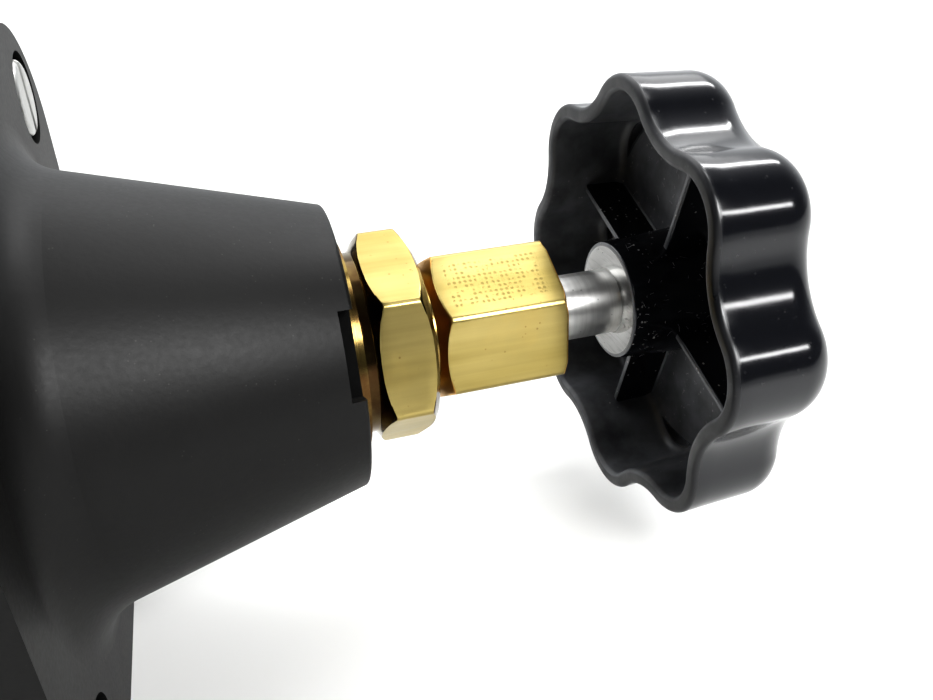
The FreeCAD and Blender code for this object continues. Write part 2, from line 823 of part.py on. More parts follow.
def lobed_outline(sketch, crest, lobe, valley):
    """Eight convex arcs joined by eight tangent concave arcs, about the sketch's origin."""
    half_pitch = math.pi / LOBES
    lobe_centre = crest - lobe
    share = lobe_centre * math.cos(half_pitch)
    hollow = (lobe_centre ** 2 + valley ** 2 - 2 * share * valley - lobe ** 2) / (2 * (lobe - valley + share))
    hollow_centre = valley + hollow

    def spot(distance, angle):
        return FreeCAD.Vector(distance * math.cos(angle), distance * math.sin(angle), 0)

    for number in range(LOBES):
        angle = 2 * number * half_pitch
        centre = spot(lobe_centre, angle)
        before, after = (spot(hollow_centre, angle + side * half_pitch) for side in (-1, 1))
        start = centre + (before - centre) * (lobe / (lobe + hollow))
        end = centre + (after - centre) * (lobe / (lobe + hollow))
        next_centre = spot(lobe_centre, angle + 2 * half_pitch)
        next_start = next_centre + (after - next_centre) * (lobe / (lobe + hollow))
        sketch.addGeometry(Part.Arc(start, spot(crest, angle), end), False)
        sketch.addGeometry(Part.Arc(end, spot(valley, angle + half_pitch), next_start), False)
    total = 2 * LOBES
    for crest_arc in range(0, total, 2):
        # a sketch stores arcs anticlockwise, so a concave arc's own start is its far end
        sketch.addConstraint(Sketcher.Constraint("Coincident", crest_arc, 2, crest_arc + 1, 2))
        sketch.addConstraint(Sketcher.Constraint("Coincident", crest_arc + 1, 1, (crest_arc + 2) % total, 1))


def round_edges(body, name, radius, test):
    """A PartDesign fillet on the edges of the body's tip that pass a test."""
    doc.recompute()
    base = body.Tip
    feature = body.newObject("PartDesign::Fillet", name)
    feature.Base = (base, ["Edge%d" % number for number in pick_edges(base.Shape, test)])
    bind(feature, Radius=radius)
    doc.recompute()


def edge_at(x, low, high):
    """A test for edges in one plane square to X whose centre lies between two radii."""
    def test(edge):
        if edge.BoundBox.XLength > 0.01 or abs(edge.BoundBox.XMin - x) > 0.01:
            return False
        spot = edge.valueAt((edge.FirstParameter + edge.LastParameter) / 2)
        return low < math.hypot(spot.y, spot.z) < high
    return test


def prism_from(body, kind, sketch, name, length, draft="0"):
    """A pad or a pocket from an outline, with drafted sides."""
    feature = body.newObject(kind, name)
    feature.Profile = sketch
    feature.Reversed = kind == "PartDesign::Pocket"
    bind(feature, Length=length, TaperAngle=draft)
    doc.recompute()
    return feature


def circle_outline(sketch, radius):
    """A circle about the sketch's origin."""
    sketch.addGeometry(Part.Circle(FreeCAD.Vector(), FreeCAD.Vector(0, 0, 1), worth(radius)), False)
    sketch.addConstraint(Sketcher.Constraint("Coincident", 0, 3, -1, 1))
    driven(sketch, "outline_radius", radius, "Radius", 0)


def flatted_outline(sketch, radius, flat):
    """A circle with one side cut off by a flat."""
    reach = math.sqrt(radius ** 2 - flat ** 2)
    left, right = FreeCAD.Vector(-reach, flat, 0), FreeCAD.Vector(reach, flat, 0)
    sketch.addGeometry(Part.LineSegment(right, left), False)
    sketch.addGeometry(Part.Arc(left, FreeCAD.Vector(0, -radius, 0), right), False)
    sketch.addConstraint(Sketcher.Constraint("Coincident", 0, 2, 1, 1))
    sketch.addConstraint(Sketcher.Constraint("Coincident", 1, 2, 0, 1))


def add_wheel_shell(body):
    """The lobed cup: a drafted block, hollowed from the rim side, with its edges rounded."""
    crest, lobe = size("wheel_crest_radius"), size("wheel_lobe_radius")
    valley, wall = size("wheel_valley_radius"), size("wheel_wall")
    rim, hub = size("wheel_rim_offset"), size("wheel_hub_radius")
    outside = crest + size("overshoot")
    outline = sketch_on(body, "YZ_Plane", "wheel_outline")
    lobed_outline(outline, crest, lobe, valley)
    bind(outline, AttachmentOffset__Base__z="wheel_rim_offset")
    prism_from(body, "PartDesign::Pad", outline, "wheel_block", "wheel_depth", "-wheel_draft")
    front = rim + size("wheel_depth")
    round_edges(body, "wheel_front_round", "wheel_front_fillet", edge_at(front, hub, outside))
    hollow = sketch_on(body, "YZ_Plane", "wheel_hollow_outline")
    lobed_outline(hollow, crest - wall, lobe - wall, valley - wall)
    bind(hollow, AttachmentOffset__Base__z="wheel_rim_offset")
    prism_from(body, "PartDesign::Pocket", hollow, "wheel_hollow", "wheel_cavity_depth", "-wheel_draft")
    floor = rim + size("wheel_cavity_depth")
    round_edges(body, "wheel_floor_round", "wheel_cavity_fillet", edge_at(floor, hub, outside))
    round_edges(body, "wheel_rim_round", "wheel_rim_fillet", edge_at(rim, hub, outside))


def add_wheel_hub(body):
    hub = sketch_on(body, "YZ_Plane", "hub_outline")
    circle_outline(hub, "wheel_hub_radius")
    reach = "wheel_rim_offset + wheel_cavity_depth + wheel_overlap"
    prism_from(body, "PartDesign::Pad", hub, "wheel_hub", reach, "wheel_hub_draft")


def add_wheel_ribs(body):
    """Straight ribs on the floor from the hub to every second hollow of the rim."""
    rib = sketch_on(body, "YZ_Plane", "rib_outline")
    half = size("wheel_rib_width") / 2
    inner, outer = worth("wheel_hub_radius - overshoot"), size("wheel_rib_reach")
    middle = FreeCAD.Rotation(FreeCAD.Vector(0, 0, 1), math.degrees(math.pi / LOBES))
    corners = ((inner, -half), (outer, -half), (outer, half), (inner, half))
    closed_loop(rib, [middle.multVec(FreeCAD.Vector(x, y, 0)) for x, y in corners])
    bind(rib, AttachmentOffset__Base__z="wheel_rim_offset + wheel_cavity_depth - wheel_rib_height")
    pad = prism_from(body, "PartDesign::Pad", rib, "wheel_rib", "wheel_rib_height + wheel_overlap")
    ribs = body.newObject("PartDesign::PolarPattern", "wheel_ribs")
    ribs.Originals = [pad]
    ribs.Axis = (rib, ["N_Axis"])
    ribs.Angle = 360
    ribs.Occurrences = LOBES // 2
    body.Tip = ribs
    doc.recompute()


def add_wheel_holes(body):
    """A recess for the washer and nut, and a bore with a flat that keys onto the stem."""
    through = "wheel_depth + wheel_rim_offset + 2 * overshoot"
    recess = sketch_on(body, "YZ_Plane", "recess_outline")
    circle_outline(recess, "wheel_recess_radius")
    bind(recess, AttachmentOffset__Base__z="wheel_rim_offset + wheel_depth - wheel_recess_depth")
    prism_from(body, "PartDesign::Pocket", recess, "wheel_recess", through)
    bore = sketch_on(body, "YZ_Plane", "bore_outline")
    flatted_outline(bore, size("wheel_bore_radius"), size("wheel_bore_flat"))
    bind(bore, AttachmentOffset__Base__z="-overshoot")
    prism_from(body, "PartDesign::Pocket", bore, "wheel_bore", through)


def make_handwheel():
    body = doc.addObject("PartDesign::Body", "wheel_body")
    add_wheel_shell(body)
    add_wheel_hub(body)
    add_wheel_ribs(body)
    add_wheel_holes(body)
    body.Placement = FreeCAD.Placement(
        FreeCAD.Vector(), FreeCAD.Rotation(FreeCAD.Vector(1, 0, 0), size("wheel_turn")),
    )
    bind(body, Placement__Base__x="stem_shoulder", Placement__Base__z="axis_height")
    return label(body, "handwheel")


WHEEL_FLOOR = "(stem_shoulder + wheel_rim_offset + wheel_depth - wheel_recess_depth)"
WHEEL_WASHER_TOP = "(%s + wheel_washer_thickness)" % WHEEL_FLOOR


def make_wheel_fixing():
    label(ring(
        "wheel_washer_ring", "wheel_washer_radius",
        "stem_spigot_radius + washer_slack", WHEEL_FLOOR, WHEEL_WASHER_TOP,
    ), "wheel_washer")
    top = "(%s + wheel_nut_height)" % WHEEL_WASHER_TOP
    blank = chamfered_hexagon(
        "wheel_nut_hexagon", "wheel_nut_flats", WHEEL_WASHER_TOP, top, None,
        "wheel_nut_flats / 2 + wheel_nut_face_margin", "wheel_nut_flats / 2 - wheel_nut_face_margin",
    )
    bore = rod(
        "wheel_nut_bore", "stem_spigot_radius + close_fit", WHEEL_WASHER_TOP + " - overshoot",
        top + " + overshoot",
    )
    label(cut("wheel_nut_bored", blank, bore), "wheel_nut")


# ---------------------------------------------------------------- check valve

def make_check_valve():
    seat_sink = "sqrt(ball_radius * ball_radius - check_seat_radius * check_seat_radius)"
    ball_x = "(check_seat_place - ball_gap - %s)" % seat_sink
    ball = doc.addObject("Part::Sphere", "ball")
    bind(ball, Radius="ball_radius")
    place(ball, x=ball_x, y="check_offset")
    label(ball, "check_ball")

    where = {"y": "check_offset"}
    face = "(-body_half_length)"
    seal_back = "(%s - plug_seal_thickness)" % face
    label(ring(
        "plug_seal_ring", "plug_head_radius - seal_slack",
        "plug_radius + seal_slack", seal_back, face, **where,
    ), "check_plug_seal")
    head_end = "(%s - plug_head_height)" % seal_back
    blank = fuse(
        "plug_blank",
        rod("plug_thread", "plug_radius", seal_back, "plug_face", **where),
        rod("plug_head", "plug_head_radius", head_end, seal_back, **where),
    )
    socket = hexagon(
        "plug_socket", "plug_socket_flats", head_end + " - overshoot", head_end + " + plug_socket_depth",
    )
    bind(socket, Placement__Base__y="check_offset")
    label(cut("plug_drilled", blank, socket), "check_plug")

    # the coil runs from the plug's face to the circle where it bears on the ball
    seat_x = worth(ball_x) - math.sqrt(size("ball_radius") ** 2 - size("spring_coil_radius") ** 2)
    start = worth("plug_face + spring_wire_radius + spring_end_gap")
    end = seat_x - worth("spring_wire_radius + 2 * spring_end_gap")
    helix = doc.addObject("Part::Helix", "spring_path")
    helix.Pitch = (end - start) / size("spring_turns")
    helix.Height = end - start
    bind(helix, Radius="spring_coil_radius")
    circle = doc.addObject("Part::Circle", "spring_section")
    bind(circle, Radius="spring_wire_radius")
    circle.Placement = FreeCAD.Placement(
        FreeCAD.Vector(size("spring_coil_radius"), 0, 0), FreeCAD.Rotation(FreeCAD.Vector(1, 0, 0), 90),
    )
    sweep = doc.addObject("Part::Sweep", "spring_coil")
    sweep.Sections = [circle]
    sweep.Spine = (helix, ["Edge1"])
    sweep.Solid = True
    sweep.Frenet = True
    sweep.Placement = FreeCAD.Placement(
        FreeCAD.Vector(start, size("check_offset"), size("axis_height")),
        FreeCAD.Rotation(FreeCAD.Vector(0, 1, 0), 90),
    )
    label(sweep, "check_spring")


# ---------------------------------------------------------------- build, test and write

for maker in (
    make_valve_body, make_bonnet_gasket, make_bonnet, make_bonnet_screws, make_screw_lock_washers,
    make_stem_bushing, make_bushing_seal, make_jam_washer, make_jam_nut, make_packing_nut, make_packing,
    make_seat, make_needle_tip, make_stem, make_needle_ring, make_stop_ring, make_handwheel,
    make_wheel_fixing, make_check_valve,
):
    maker()
doc.recompute()

for obj in doc.Objects:
    if "Invalid" in obj.State or "Error" in obj.State:
        raise RuntimeError("%s failed: %s" % (obj.Name, obj.State))
os.makedirs("parts", exist_ok=True)
for obj in NODES:
    shape = obj.Shape
    if shape.isNull() or not shape.isValid() or not shape.Solids:
        raise RuntimeError("%s has no valid solid" % obj.Label)
    shape.exportStep(os.path.join("parts", obj.Label + ".step"))
    box_text = "x %.2f to %.2f" % (shape.BoundBox.XMin, shape.BoundBox.XMax)
    print("%-20s %d solids %10.1f mm3 %s" % (obj.Label, len(shape.Solids), shape.Volume, box_text))
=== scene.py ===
"""Flow control valve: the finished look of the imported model, laid out as an add-on.

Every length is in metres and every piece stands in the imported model's own frame: X runs along the
stem towards the handwheel, Y across from inlet to outlet and Z up from the base.
"""

import math
import random

import bmesh
import bpy
from mathutils import Matrix, Vector


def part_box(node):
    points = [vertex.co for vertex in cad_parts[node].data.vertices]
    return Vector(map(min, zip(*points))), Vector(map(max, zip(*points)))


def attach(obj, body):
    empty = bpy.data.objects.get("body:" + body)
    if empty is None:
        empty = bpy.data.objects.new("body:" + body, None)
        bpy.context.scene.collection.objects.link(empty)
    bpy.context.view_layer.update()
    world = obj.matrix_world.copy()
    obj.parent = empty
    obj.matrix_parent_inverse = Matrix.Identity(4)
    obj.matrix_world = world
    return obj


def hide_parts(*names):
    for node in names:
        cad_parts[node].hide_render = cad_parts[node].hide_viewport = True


bl_info = {
    "name": "Flow Control Valve",
    "version": (1, 0, 0),
    "blender": (4, 5, 0),
    "location": "3D View > Sidebar > Valve",
    "description": "Builds the finished pieces and materials of a lobed-handwheel flow control valve",
    "category": "Object",
}

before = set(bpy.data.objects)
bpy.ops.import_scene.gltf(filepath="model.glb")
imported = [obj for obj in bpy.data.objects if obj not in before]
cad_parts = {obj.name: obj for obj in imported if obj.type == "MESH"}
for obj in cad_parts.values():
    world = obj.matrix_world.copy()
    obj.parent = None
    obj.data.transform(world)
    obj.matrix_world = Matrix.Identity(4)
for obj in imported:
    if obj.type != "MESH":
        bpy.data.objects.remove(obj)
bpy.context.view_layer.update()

MM = 0.001
STEM_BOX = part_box("stem")
AXIS_Z = (STEM_BOX[0].z + STEM_BOX[1].z) / 2
WHEEL_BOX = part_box("handwheel")
JAM_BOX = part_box("jam_nut")
PACKING_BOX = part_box("packing_nut")
WHEEL_NUT_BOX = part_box("wheel_nut")
SCREW_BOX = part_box("bonnet_screws")
WASHER_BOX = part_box("screw_lock_washers")
BODY_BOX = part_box("valve_body")
NOSE_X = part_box("bonnet")[1].x

NOTCH_LEAN = math.radians(65.5)
NOTCH_WIDTH = 9.0 * MM
NOTCH_DEPTH = 1.6 * MM
HEX_SLOPE = math.tan(math.radians(30))
STEM_CLEARANCE = 4.1 * MM
BUSHING_BORE = 5.95 * MM
JAM_BORE = 7.95 * MM
WHEEL_NUT_BORE = 3.03 * MM
SAMPLES_PER_LOBE = 54

# each light's lean from overhead towards the inlet side, in degrees, and its share of the power
STRIPS = ((-27, 1.0), (57, 0.9))
FILLS = ((50, 1.25), (-2, 0.27))
# how far each kind of light tilts forward, in degrees, and its two sides
STRIP_TILT, STRIP_SIZE = 34, (0.36, 0.075)
FILL_TILT, FILL_SIZE = 17, (0.12, 0.09)
WINDOW_PLACE, WINDOW_AIM, WINDOW_SIZE = (0.10, 0.80, 0.95), (0.08, 0.38, 0.0), (1.8, 0.9)

# the camera's place from the hub's rear face and its own directions
CAMERA_FROM_HUB = Vector((-44.006, -85.650, 47.533)) * MM
CAMERA_RIGHT = Vector((0.95366, -0.29987, -0.02489))
CAMERA_FORWARD = Vector((0.24866, 0.83198, -0.49596))


# ---------------------------------------------------------------- settings

def length(name, description, default):
    """A length property in metres, shown with its unit."""
    return bpy.props.FloatProperty(
        name=name, description=description, default=default, min=0.0, precision=5,
        subtype="DISTANCE", unit="LENGTH",
    )


def angle(name, description, degrees):
    """An angle property."""
    return bpy.props.FloatProperty(
        name=name, description=description, default=math.radians(degrees),
        subtype="ANGLE", unit="ROTATION",
    )


def colour(name, description, default):
    """A colour property."""
    return bpy.props.FloatVectorProperty(
        name=name, description=description, default=default, size=3, min=0.0, max=1.0,
        subtype="COLOR",
    )


def amount(name, description, default):
    """A plain number that isn't negative."""
    return bpy.props.FloatProperty(name=name, description=description, default=default, min=0.0)


def factor(name, description, default):
    """A plain share from 0 to 1."""
    return bpy.props.FloatProperty(
        name=name, description=description, default=default, min=0.0, max=1.0, subtype="FACTOR",
    )


class ValveWheelSettings(bpy.types.PropertyGroup):
    """Sizes of the lobed handwheel."""

    lobes: bpy.props.IntProperty(name="Lobes", description="Finger lobes round the rim", default=8, min=3)
    crest: length("Crest radius", "Radius at the top of a lobe, at the open rim", 27.0 * MM)
    lobe: length("Lobe radius", "Radius of one lobe's arc, at the open rim", 7.5 * MM)
    valley: length("Valley radius", "Radius at the bottom of a hollow between lobes", 23.8 * MM)
    wall: length("Wall", "Thickness of the rim wall", 1.9 * MM)
    draft: angle("Draft", "Mould draft of the rim walls", 2.5)
    turn: angle("Turn", "How the wheel stands at rest, about the stem", -3.0)
    front_round: length("Front rounding", "Rounding between the side and the front face", 4.6 * MM)
    edge_round: length("Rim rounding", "Rounding of the open rim's two edges", 0.6 * MM)
    rim_gap: length("Rim gap", "Distance of the open rim ahead of the hub's face", 0.6 * MM)
    cavity: length("Cavity depth", "Depth of the hollow behind the front face", 10.8 * MM)
    floor_round: length("Floor rounding", "Rounding where the wall meets the hollow's floor", 1.5 * MM)
    hub: length("Hub radius", "Radius of the hub's face", 7.25 * MM)
    hub_draft: angle("Hub draft", "Mould draft of the hub", 3.0)
    bore: length("Bore radius", "Radius of the hub's bore", 3.05 * MM)
    recess: length("Recess radius", "Radius of the nut's recess in the front face", 6.2 * MM)
    recess_depth: length("Recess depth", "Depth of the nut's recess", 3.5 * MM)
    rib_width: length("Rib width", "Thickness of a rib at its top", 1.0 * MM)
    rib_height: length("Rib height", "Height of a rib above the hollow's floor", 5.6 * MM)
    rib_reach: length("Rib reach", "Radius at which a rib ends", 22.2 * MM)
    fibres: bpy.props.IntProperty(
        name="Fibres", description="Lint fibres caught on the hub", default=300, min=0,
    )


class ValveNutSettings(bpy.types.PropertyGroup):
    """Sizes of the hexagon nuts."""

    jam_flats: length("Jam nut flats", "Width across the jam nut's flats", 21.7 * MM)
    jam_boss: length("Jam nut boss", "Radius of the jam nut's round boss", 10.4 * MM)
    jam_boss_length: length("Jam nut boss length", "Length of the jam nut's round boss", 1.3 * MM)
    jam_corner: angle("Jam nut corner", "Angle of one corner from straight up", 14.5)
    packing_flats: length("Packing nut flats", "Width across the packing nut's flats", 15.875 * MM)
    packing_face: length("Packing nut face", "Radius of the packing nut's turned inner face", 7.0 * MM)
    packing_corner: angle("Packing nut corner", "Angle of one corner from straight up", 3.0)
    wheel_flats: length("Wheel nut flats", "Width across the wheel nut's flats", 10.0 * MM)
    break_edge: length("Edge break", "Rounding of the drawn and turned edges", 0.12 * MM)


class ValveFinishSettings(bpy.types.PropertyGroup):
    """Colours and wear of the finishes."""

    coat: colour("Powder coat", "Colour of the coat on body and bonnet", (0.0065, 0.0064, 0.0062))
    brass: colour("Brass", "Colour of the drawn brass", (0.325, 0.262, 0.098))
    steel: colour("Stem steel", "Colour of the ground steel", (0.80, 0.795, 0.775))
    zinc: colour("Zinc", "Colour of the plated screws", (0.46, 0.46, 0.45))
    phenolic: colour("Phenolic", "Colour of the moulded handwheel", (0.006, 0.0065, 0.009))
    # dust also sets the painted sheen inside the handwheel
    dust: factor("Dust", "How much dust lies on the coat and in the wheel", 0.5)
    tarnish: factor("Tarnish", "How far the brass has darkened", 0.5)


class ValveStageSettings(bpy.types.PropertyGroup):
    """Floor, lights and camera."""

    floor: colour("Floor", "Colour of the floor", (0.81, 0.81, 0.80))
    floor_size: length("Floor size", "Side of the square floor", 6.0)
    sky: amount("Sky", "Strength of the room's light", 1.2)
    sky_near: factor("Near side", "Share of the room's light on the near side", 0.12)
    sky_far: factor("Far side", "Share of the room's light on the far side", 1.0)
    strips: amount("Strips", "Power of a strip light", 1.7)
    fill: amount("Fill", "Power of a soft light on the bonnet", 0.55)
    fill_distance: length("Fill distance", "Distance of the soft lights from the bonnet's nose", 0.3)
    window: amount("Window", "Power of the broad far light", 8.0)
    strip_distance: length("Strip distance", "Distance of the strip lights from the handwheel", 1.0)
    exposure: bpy.props.FloatProperty(
        name="Exposure", description="Brightness of the view, in stops", default=-0.15,
    )
    lens: amount("Lens", "Focal length on a 36 mm wide sensor", 32.91)


# ---------------------------------------------------------------- shader maths

class Graph:
    """The node tree of a new material or world, with its main shader."""

    def __init__(self, name, store=None, shader="Principled BSDF"):
        self.material = (bpy.data.materials if store is None else store).new(name)
        self.material.use_nodes = True
        self.tree = self.material.node_tree
        self.shader = self.tree.nodes[shader]

    def node(self, kind, settings=None, inputs=None):
        """Any node: its type, the settings made first, then its inputs' values or links."""
        made = self.tree.nodes.new(kind)
        for name, value in (settings or {}).items():
            setattr(made, name, value)
        for name, value in (inputs or {}).items():
            self.feed(made.inputs[name], value)
        return made

    def feed(self, socket, value):
        """Link a wrapped socket, or set a constant."""
        if isinstance(value, Wire):
            self.tree.links.new(value.socket, socket)
        else:
            socket.default_value = value

    def wire(self, node, output=0):
        return Wire(self, node.outputs[output])

    def place(self):
        """Position on the piece, in metres."""
        return self.wire(self.node("ShaderNodeTexCoord"), "Object")

    def facing(self):
        """Direction the unbumped surface faces."""
        return self.wire(self.node("ShaderNodeTexCoord"), "Normal")

    def scaled(self, vector, scale):
        """A vector times one number for each axis."""
        node = self.node("ShaderNodeVectorMath", {"operation": "MULTIPLY"}, {0: vector, 1: scale})
        return self.wire(node, "Vector")

    def split(self, vector):
        """A vector's three numbers."""
        node = self.node("ShaderNodeSeparateXYZ", inputs={"Vector": vector})
        return [self.wire(node, axis) for axis in "XYZ"]

    def joined(self, x, y, z):
        """A vector made of three numbers."""
        return self.wire(self.node("ShaderNodeCombineXYZ", inputs={"X": x, "Y": y, "Z": z}))

    def noise(self, vector, scale, detail=3.0, roughness=0.55, distortion=0.0):
        """Noise from 0 to 1 about a half."""
        return self.wire(self.node("ShaderNodeTexNoise", inputs={
            "Vector": vector, "Scale": scale, "Detail": detail, "Roughness": roughness,
            "Distortion": distortion,
        }), "Fac")

    def spots(self, vector, scale, radius, soft=0.4):
        """Round specks: 1 inside, 0 outside, at the cells of a random grid."""
        distance = self.wire(self.node("ShaderNodeTexVoronoi", {"feature": "F1"}, {
            "Vector": vector, "Scale": scale, "Randomness": 1.0,
        }), "Distance")
        return self.below(distance, radius * (1 - soft), radius)

    def below(self, value, low, high):
        """1 below the low value, 0 above the high one, smooth between."""
        return self.ramp(value, low, high, 1.0, 0.0)

    def ramp(self, value, low, high, start=0.0, end=1.0):
        """A smooth step between two values."""
        return self.wire(self.node("ShaderNodeMapRange", {"interpolation_type": "SMOOTHSTEP"}, {
            "Value": value, "From Min": low, "From Max": high, "To Min": start, "To Max": end,
        }), "Result")

    def mix(self, share, first, second):
        """Two colours mixed by a share from 0 to 1."""
        node = self.node("ShaderNodeMix", {"data_type": "RGBA"})
        for name, value in (("Factor_Float", share), ("A_Color", first), ("B_Color", second)):
            socket = next(s for s in node.inputs if s.identifier == name)
            if name != "Factor_Float" and not isinstance(value, Wire):
                value = (*value, 1.0)
            self.feed(socket, value)
        names = [socket.identifier for socket in node.outputs]
        return self.wire(node, names.index("Result_Color"))

    def bump(self, height, strength, distance):
        """A bumped normal from a height."""
        return self.wire(self.node("ShaderNodeBump", inputs={
            "Height": height, "Strength": strength, "Distance": distance,
        }))

    def finish(self, **sockets):
        """Set the Principled shader's sockets, whose names are written with underscores."""
        for name, value in sockets.items():
            self.feed(self.shader.inputs[name.replace("_", " ")], value)
        return self.material


class Wire:
    """A socket that takes part in Python sums, each sum adding one Math node."""

    def __init__(self, graph, socket):
        self.graph = graph
        self.socket = socket

    def math(self, operation, first, second=0.0):
        node = self.graph.node("ShaderNodeMath", {"operation": operation}, {0: first, 1: second})
        return Wire(self.graph, node.outputs[0])

    def __add__(self, other):
        return self.math("ADD", self, other)

    def __radd__(self, other):
        return self.math("ADD", other, self)

    def __sub__(self, other):
        return self.math("SUBTRACT", self, other)

    def __rsub__(self, other):
        return self.math("SUBTRACT", other, self)

    def __mul__(self, other):
        return self.math("MULTIPLY", self, other)

    def __rmul__(self, other):
        return self.math("MULTIPLY", other, self)

    def __truediv__(self, other):
        return self.math("DIVIDE", self, other)

    def __rtruediv__(self, other):
        return self.math("DIVIDE", other, self)

    def __pow__(self, other):
        return self.math("POWER", self, other)

    def __abs__(self):
        return self.math("ABSOLUTE", self)

    def most(self, other):
        return self.math("MAXIMUM", self, other)

    def least(self, other):
        return self.math("MINIMUM", self, other)

    def part(self):
        """What is left after the whole number."""
        return self.math("FRACT", self)


def shade(tone, by):
    """A colour made lighter or darker."""
    return tuple(min(1.0, channel * by) for channel in tone)


def about_axis(g):
    """Position about the stem: along it, across, above it, and distance from it."""
    x, y, z = g.split(g.place())
    level = z - AXIS_Z
    return x, y, level, (y * y + level * level) ** 0.5


def lathe_rings(g, x, radius, pitch=4200.0, outward=4200.0, detail=3.0, roughness=0.65):
    """The fine rings that turning or grinding leaves about the stem's axis."""
    return g.noise(g.joined(x * pitch, radius * outward, 0.0), 1.0, detail, roughness)


# ---------------------------------------------------------------- finishes

def powder_coat(name, look):
    """Matt black powder coat: fine pebbled skin, faint mottling, settled dust and painted shade in the
    nose's slot.
    """
    g = Graph(name)
    place = g.place()
    pebble = g.noise(place, 1900.0, 2.0, 0.6)
    swell = g.noise(place, 330.0, 2.0)
    mottle = g.noise(place, 70.0, 4.0, 0.6)
    specks = g.spots(place, 1400.0, 0.13) * g.ramp(g.noise(place, 180.0, 2.0), 0.5, 0.62)
    base = g.mix(g.ramp(mottle, 0.3, 0.7), shade(look.coat, 0.86), shade(look.coat, 1.16))
    base = g.mix(specks * (0.16 * look.dust), base, (0.30, 0.29, 0.27))
    rough = 0.47 + (mottle - 0.5) * 0.12 + (pebble - 0.5) * 0.10
    # painted shade: the coat in the machined slot in the nose is coloured darker, standing in for the
    # slot's shadow, and it is rougher
    x, y, level, radius = about_axis(g)
    sideways = y * math.cos(NOTCH_LEAN) + level * math.sin(NOTCH_LEAN)
    slot = g.below(abs(sideways), NOTCH_WIDTH / 2, NOTCH_WIDTH / 2 + 0.1 * MM)
    slot = slot * g.below(radius, 15.2 * MM, 15.6 * MM) * g.ramp(level, 0.0, 1.0 * MM)
    slot = slot * g.ramp(x, NOSE_X - NOTCH_DEPTH - 0.1 * MM, NOSE_X - NOTCH_DEPTH - 0.02 * MM)
    base = g.mix(slot, base, shade(look.coat, 0.4))
    rough = (rough + slot * 0.5).least(1.0)
    height = pebble * 0.7 + swell * 0.9
    return g.finish(
        Base_Color=base, Roughness=rough, Specular_IOR_Level=0.33,
        Normal=g.bump(height, 0.32, 0.05 * MM),
    )


def drawn_brass(name, look, turned_tone_and_painted_light, turned_gloss, boss_end=0.0, stamp=False):
    """Drawn hexagon bar with turned ends: lines along it, tarnish, spots, a turned-end tone that carries
    painted light and, where asked, punch rows with painted shade in their pits.
    """
    g = Graph(name)
    place = g.place()
    x, y, level, radius = about_axis(g)
    lines = g.noise(g.scaled(place, (26.0, 1500.0, 1500.0)), 1.0, 3.0, 0.65)
    fine = g.noise(g.scaled(place, (160.0, 5200.0, 5200.0)), 1.0, 2.0, 0.6)
    cloud = g.noise(place, 150.0, 4.0, 0.6)
    broad = g.noise(g.scaled(place, (30.0, 210.0, 210.0)), 1.0, 3.0)
    brown = g.spots(place, 210.0, 0.095, 0.5) * g.ramp(g.noise(place, 60.0, 1.0), 0.46, 0.54)
    specks = g.spots(place, 900.0, 0.14) * g.ramp(cloud, 0.48, 0.6)
    base = g.mix(g.ramp(lines, 0.32, 0.70), shade(look.brass, 0.94), shade(look.brass, 1.05))
    base = g.mix(g.ramp(broad, 0.35, 0.7) * 0.25, base, (0.72, 0.60, 0.30))
    base = g.mix(g.ramp(cloud, 0.50, 0.75) * (0.5 * look.tarnish), base, (0.50, 0.37, 0.13))
    base = g.mix((specks * 0.5 + brown * 0.85).least(1.0), base, (0.16, 0.09, 0.03))
    rough = 0.33 + (lines - 0.5) * 0.10 + (cloud - 0.5) * 0.16 + brown * 0.2
    height = lines * 0.6 + fine * 0.4 - brown * 0.5
    # the turned ends: rings in place of drawn lines, a sharper gloss and a browner skin whose tone, given
    # by each nut, is also painted light
    turned = g.ramp(abs(g.split(g.facing())[0]), 0.25, 0.5)
    turned = turned.most(g.below(x, boss_end - 0.1 * MM, boss_end + 0.1 * MM))
    rings = lathe_rings(g, x, radius)
    skin = g.ramp(cloud, 0.30, 0.65, 1.4, 1.95) * look.tarnish
    base = g.mix((turned * skin).least(1.0), base, turned_tone_and_painted_light)
    rough = rough * (1 - turned * turned_gloss)
    height = height * (1 - turned) + rings * turned
    if stamp:
        marks = punch_rows(g, x, y, level)
        # painted shade: the punched dots are coloured darker, standing in for the shade in their pits
        base = g.mix(marks * 0.45, base, shade(look.brass, 0.62))
        height = height - marks * 2.0
        rough = rough + marks * 0.12
    return g.finish(
        Base_Color=base, Metallic=1.0, Roughness=rough,
        Normal=g.bump(height, 0.20, 0.03 * MM),
    )


def punch_rows(g, x, y, level):
    """Rows of small punched dots on the packing nut's upper face, some of them worn away."""
    lean = math.radians(27.0)
    across = y * math.cos(lean) + level * math.sin(lean)
    outward = level * math.cos(lean) - y * math.sin(lean)
    face = g.ramp(outward, 7.75 * MM, 7.85 * MM) * g.below(abs(across), 3.1 * MM, 3.3 * MM)
    ends = g.ramp(x, 82.3 * MM, 82.6 * MM) * g.below(x, 93.7 * MM, 93.9 * MM)
    pitch = 0.62 * MM
    along = ((x / pitch).part() - 0.5) * pitch
    aside = ((across / pitch).part() - 0.5) * pitch
    dots = g.below((along * along + aside * aside) ** 0.5, 0.13 * MM, 0.25 * MM)
    worn = g.ramp(g.noise(g.place(), 1100.0, 2.0), 0.42, 0.56)
    return dots * face * ends * worn


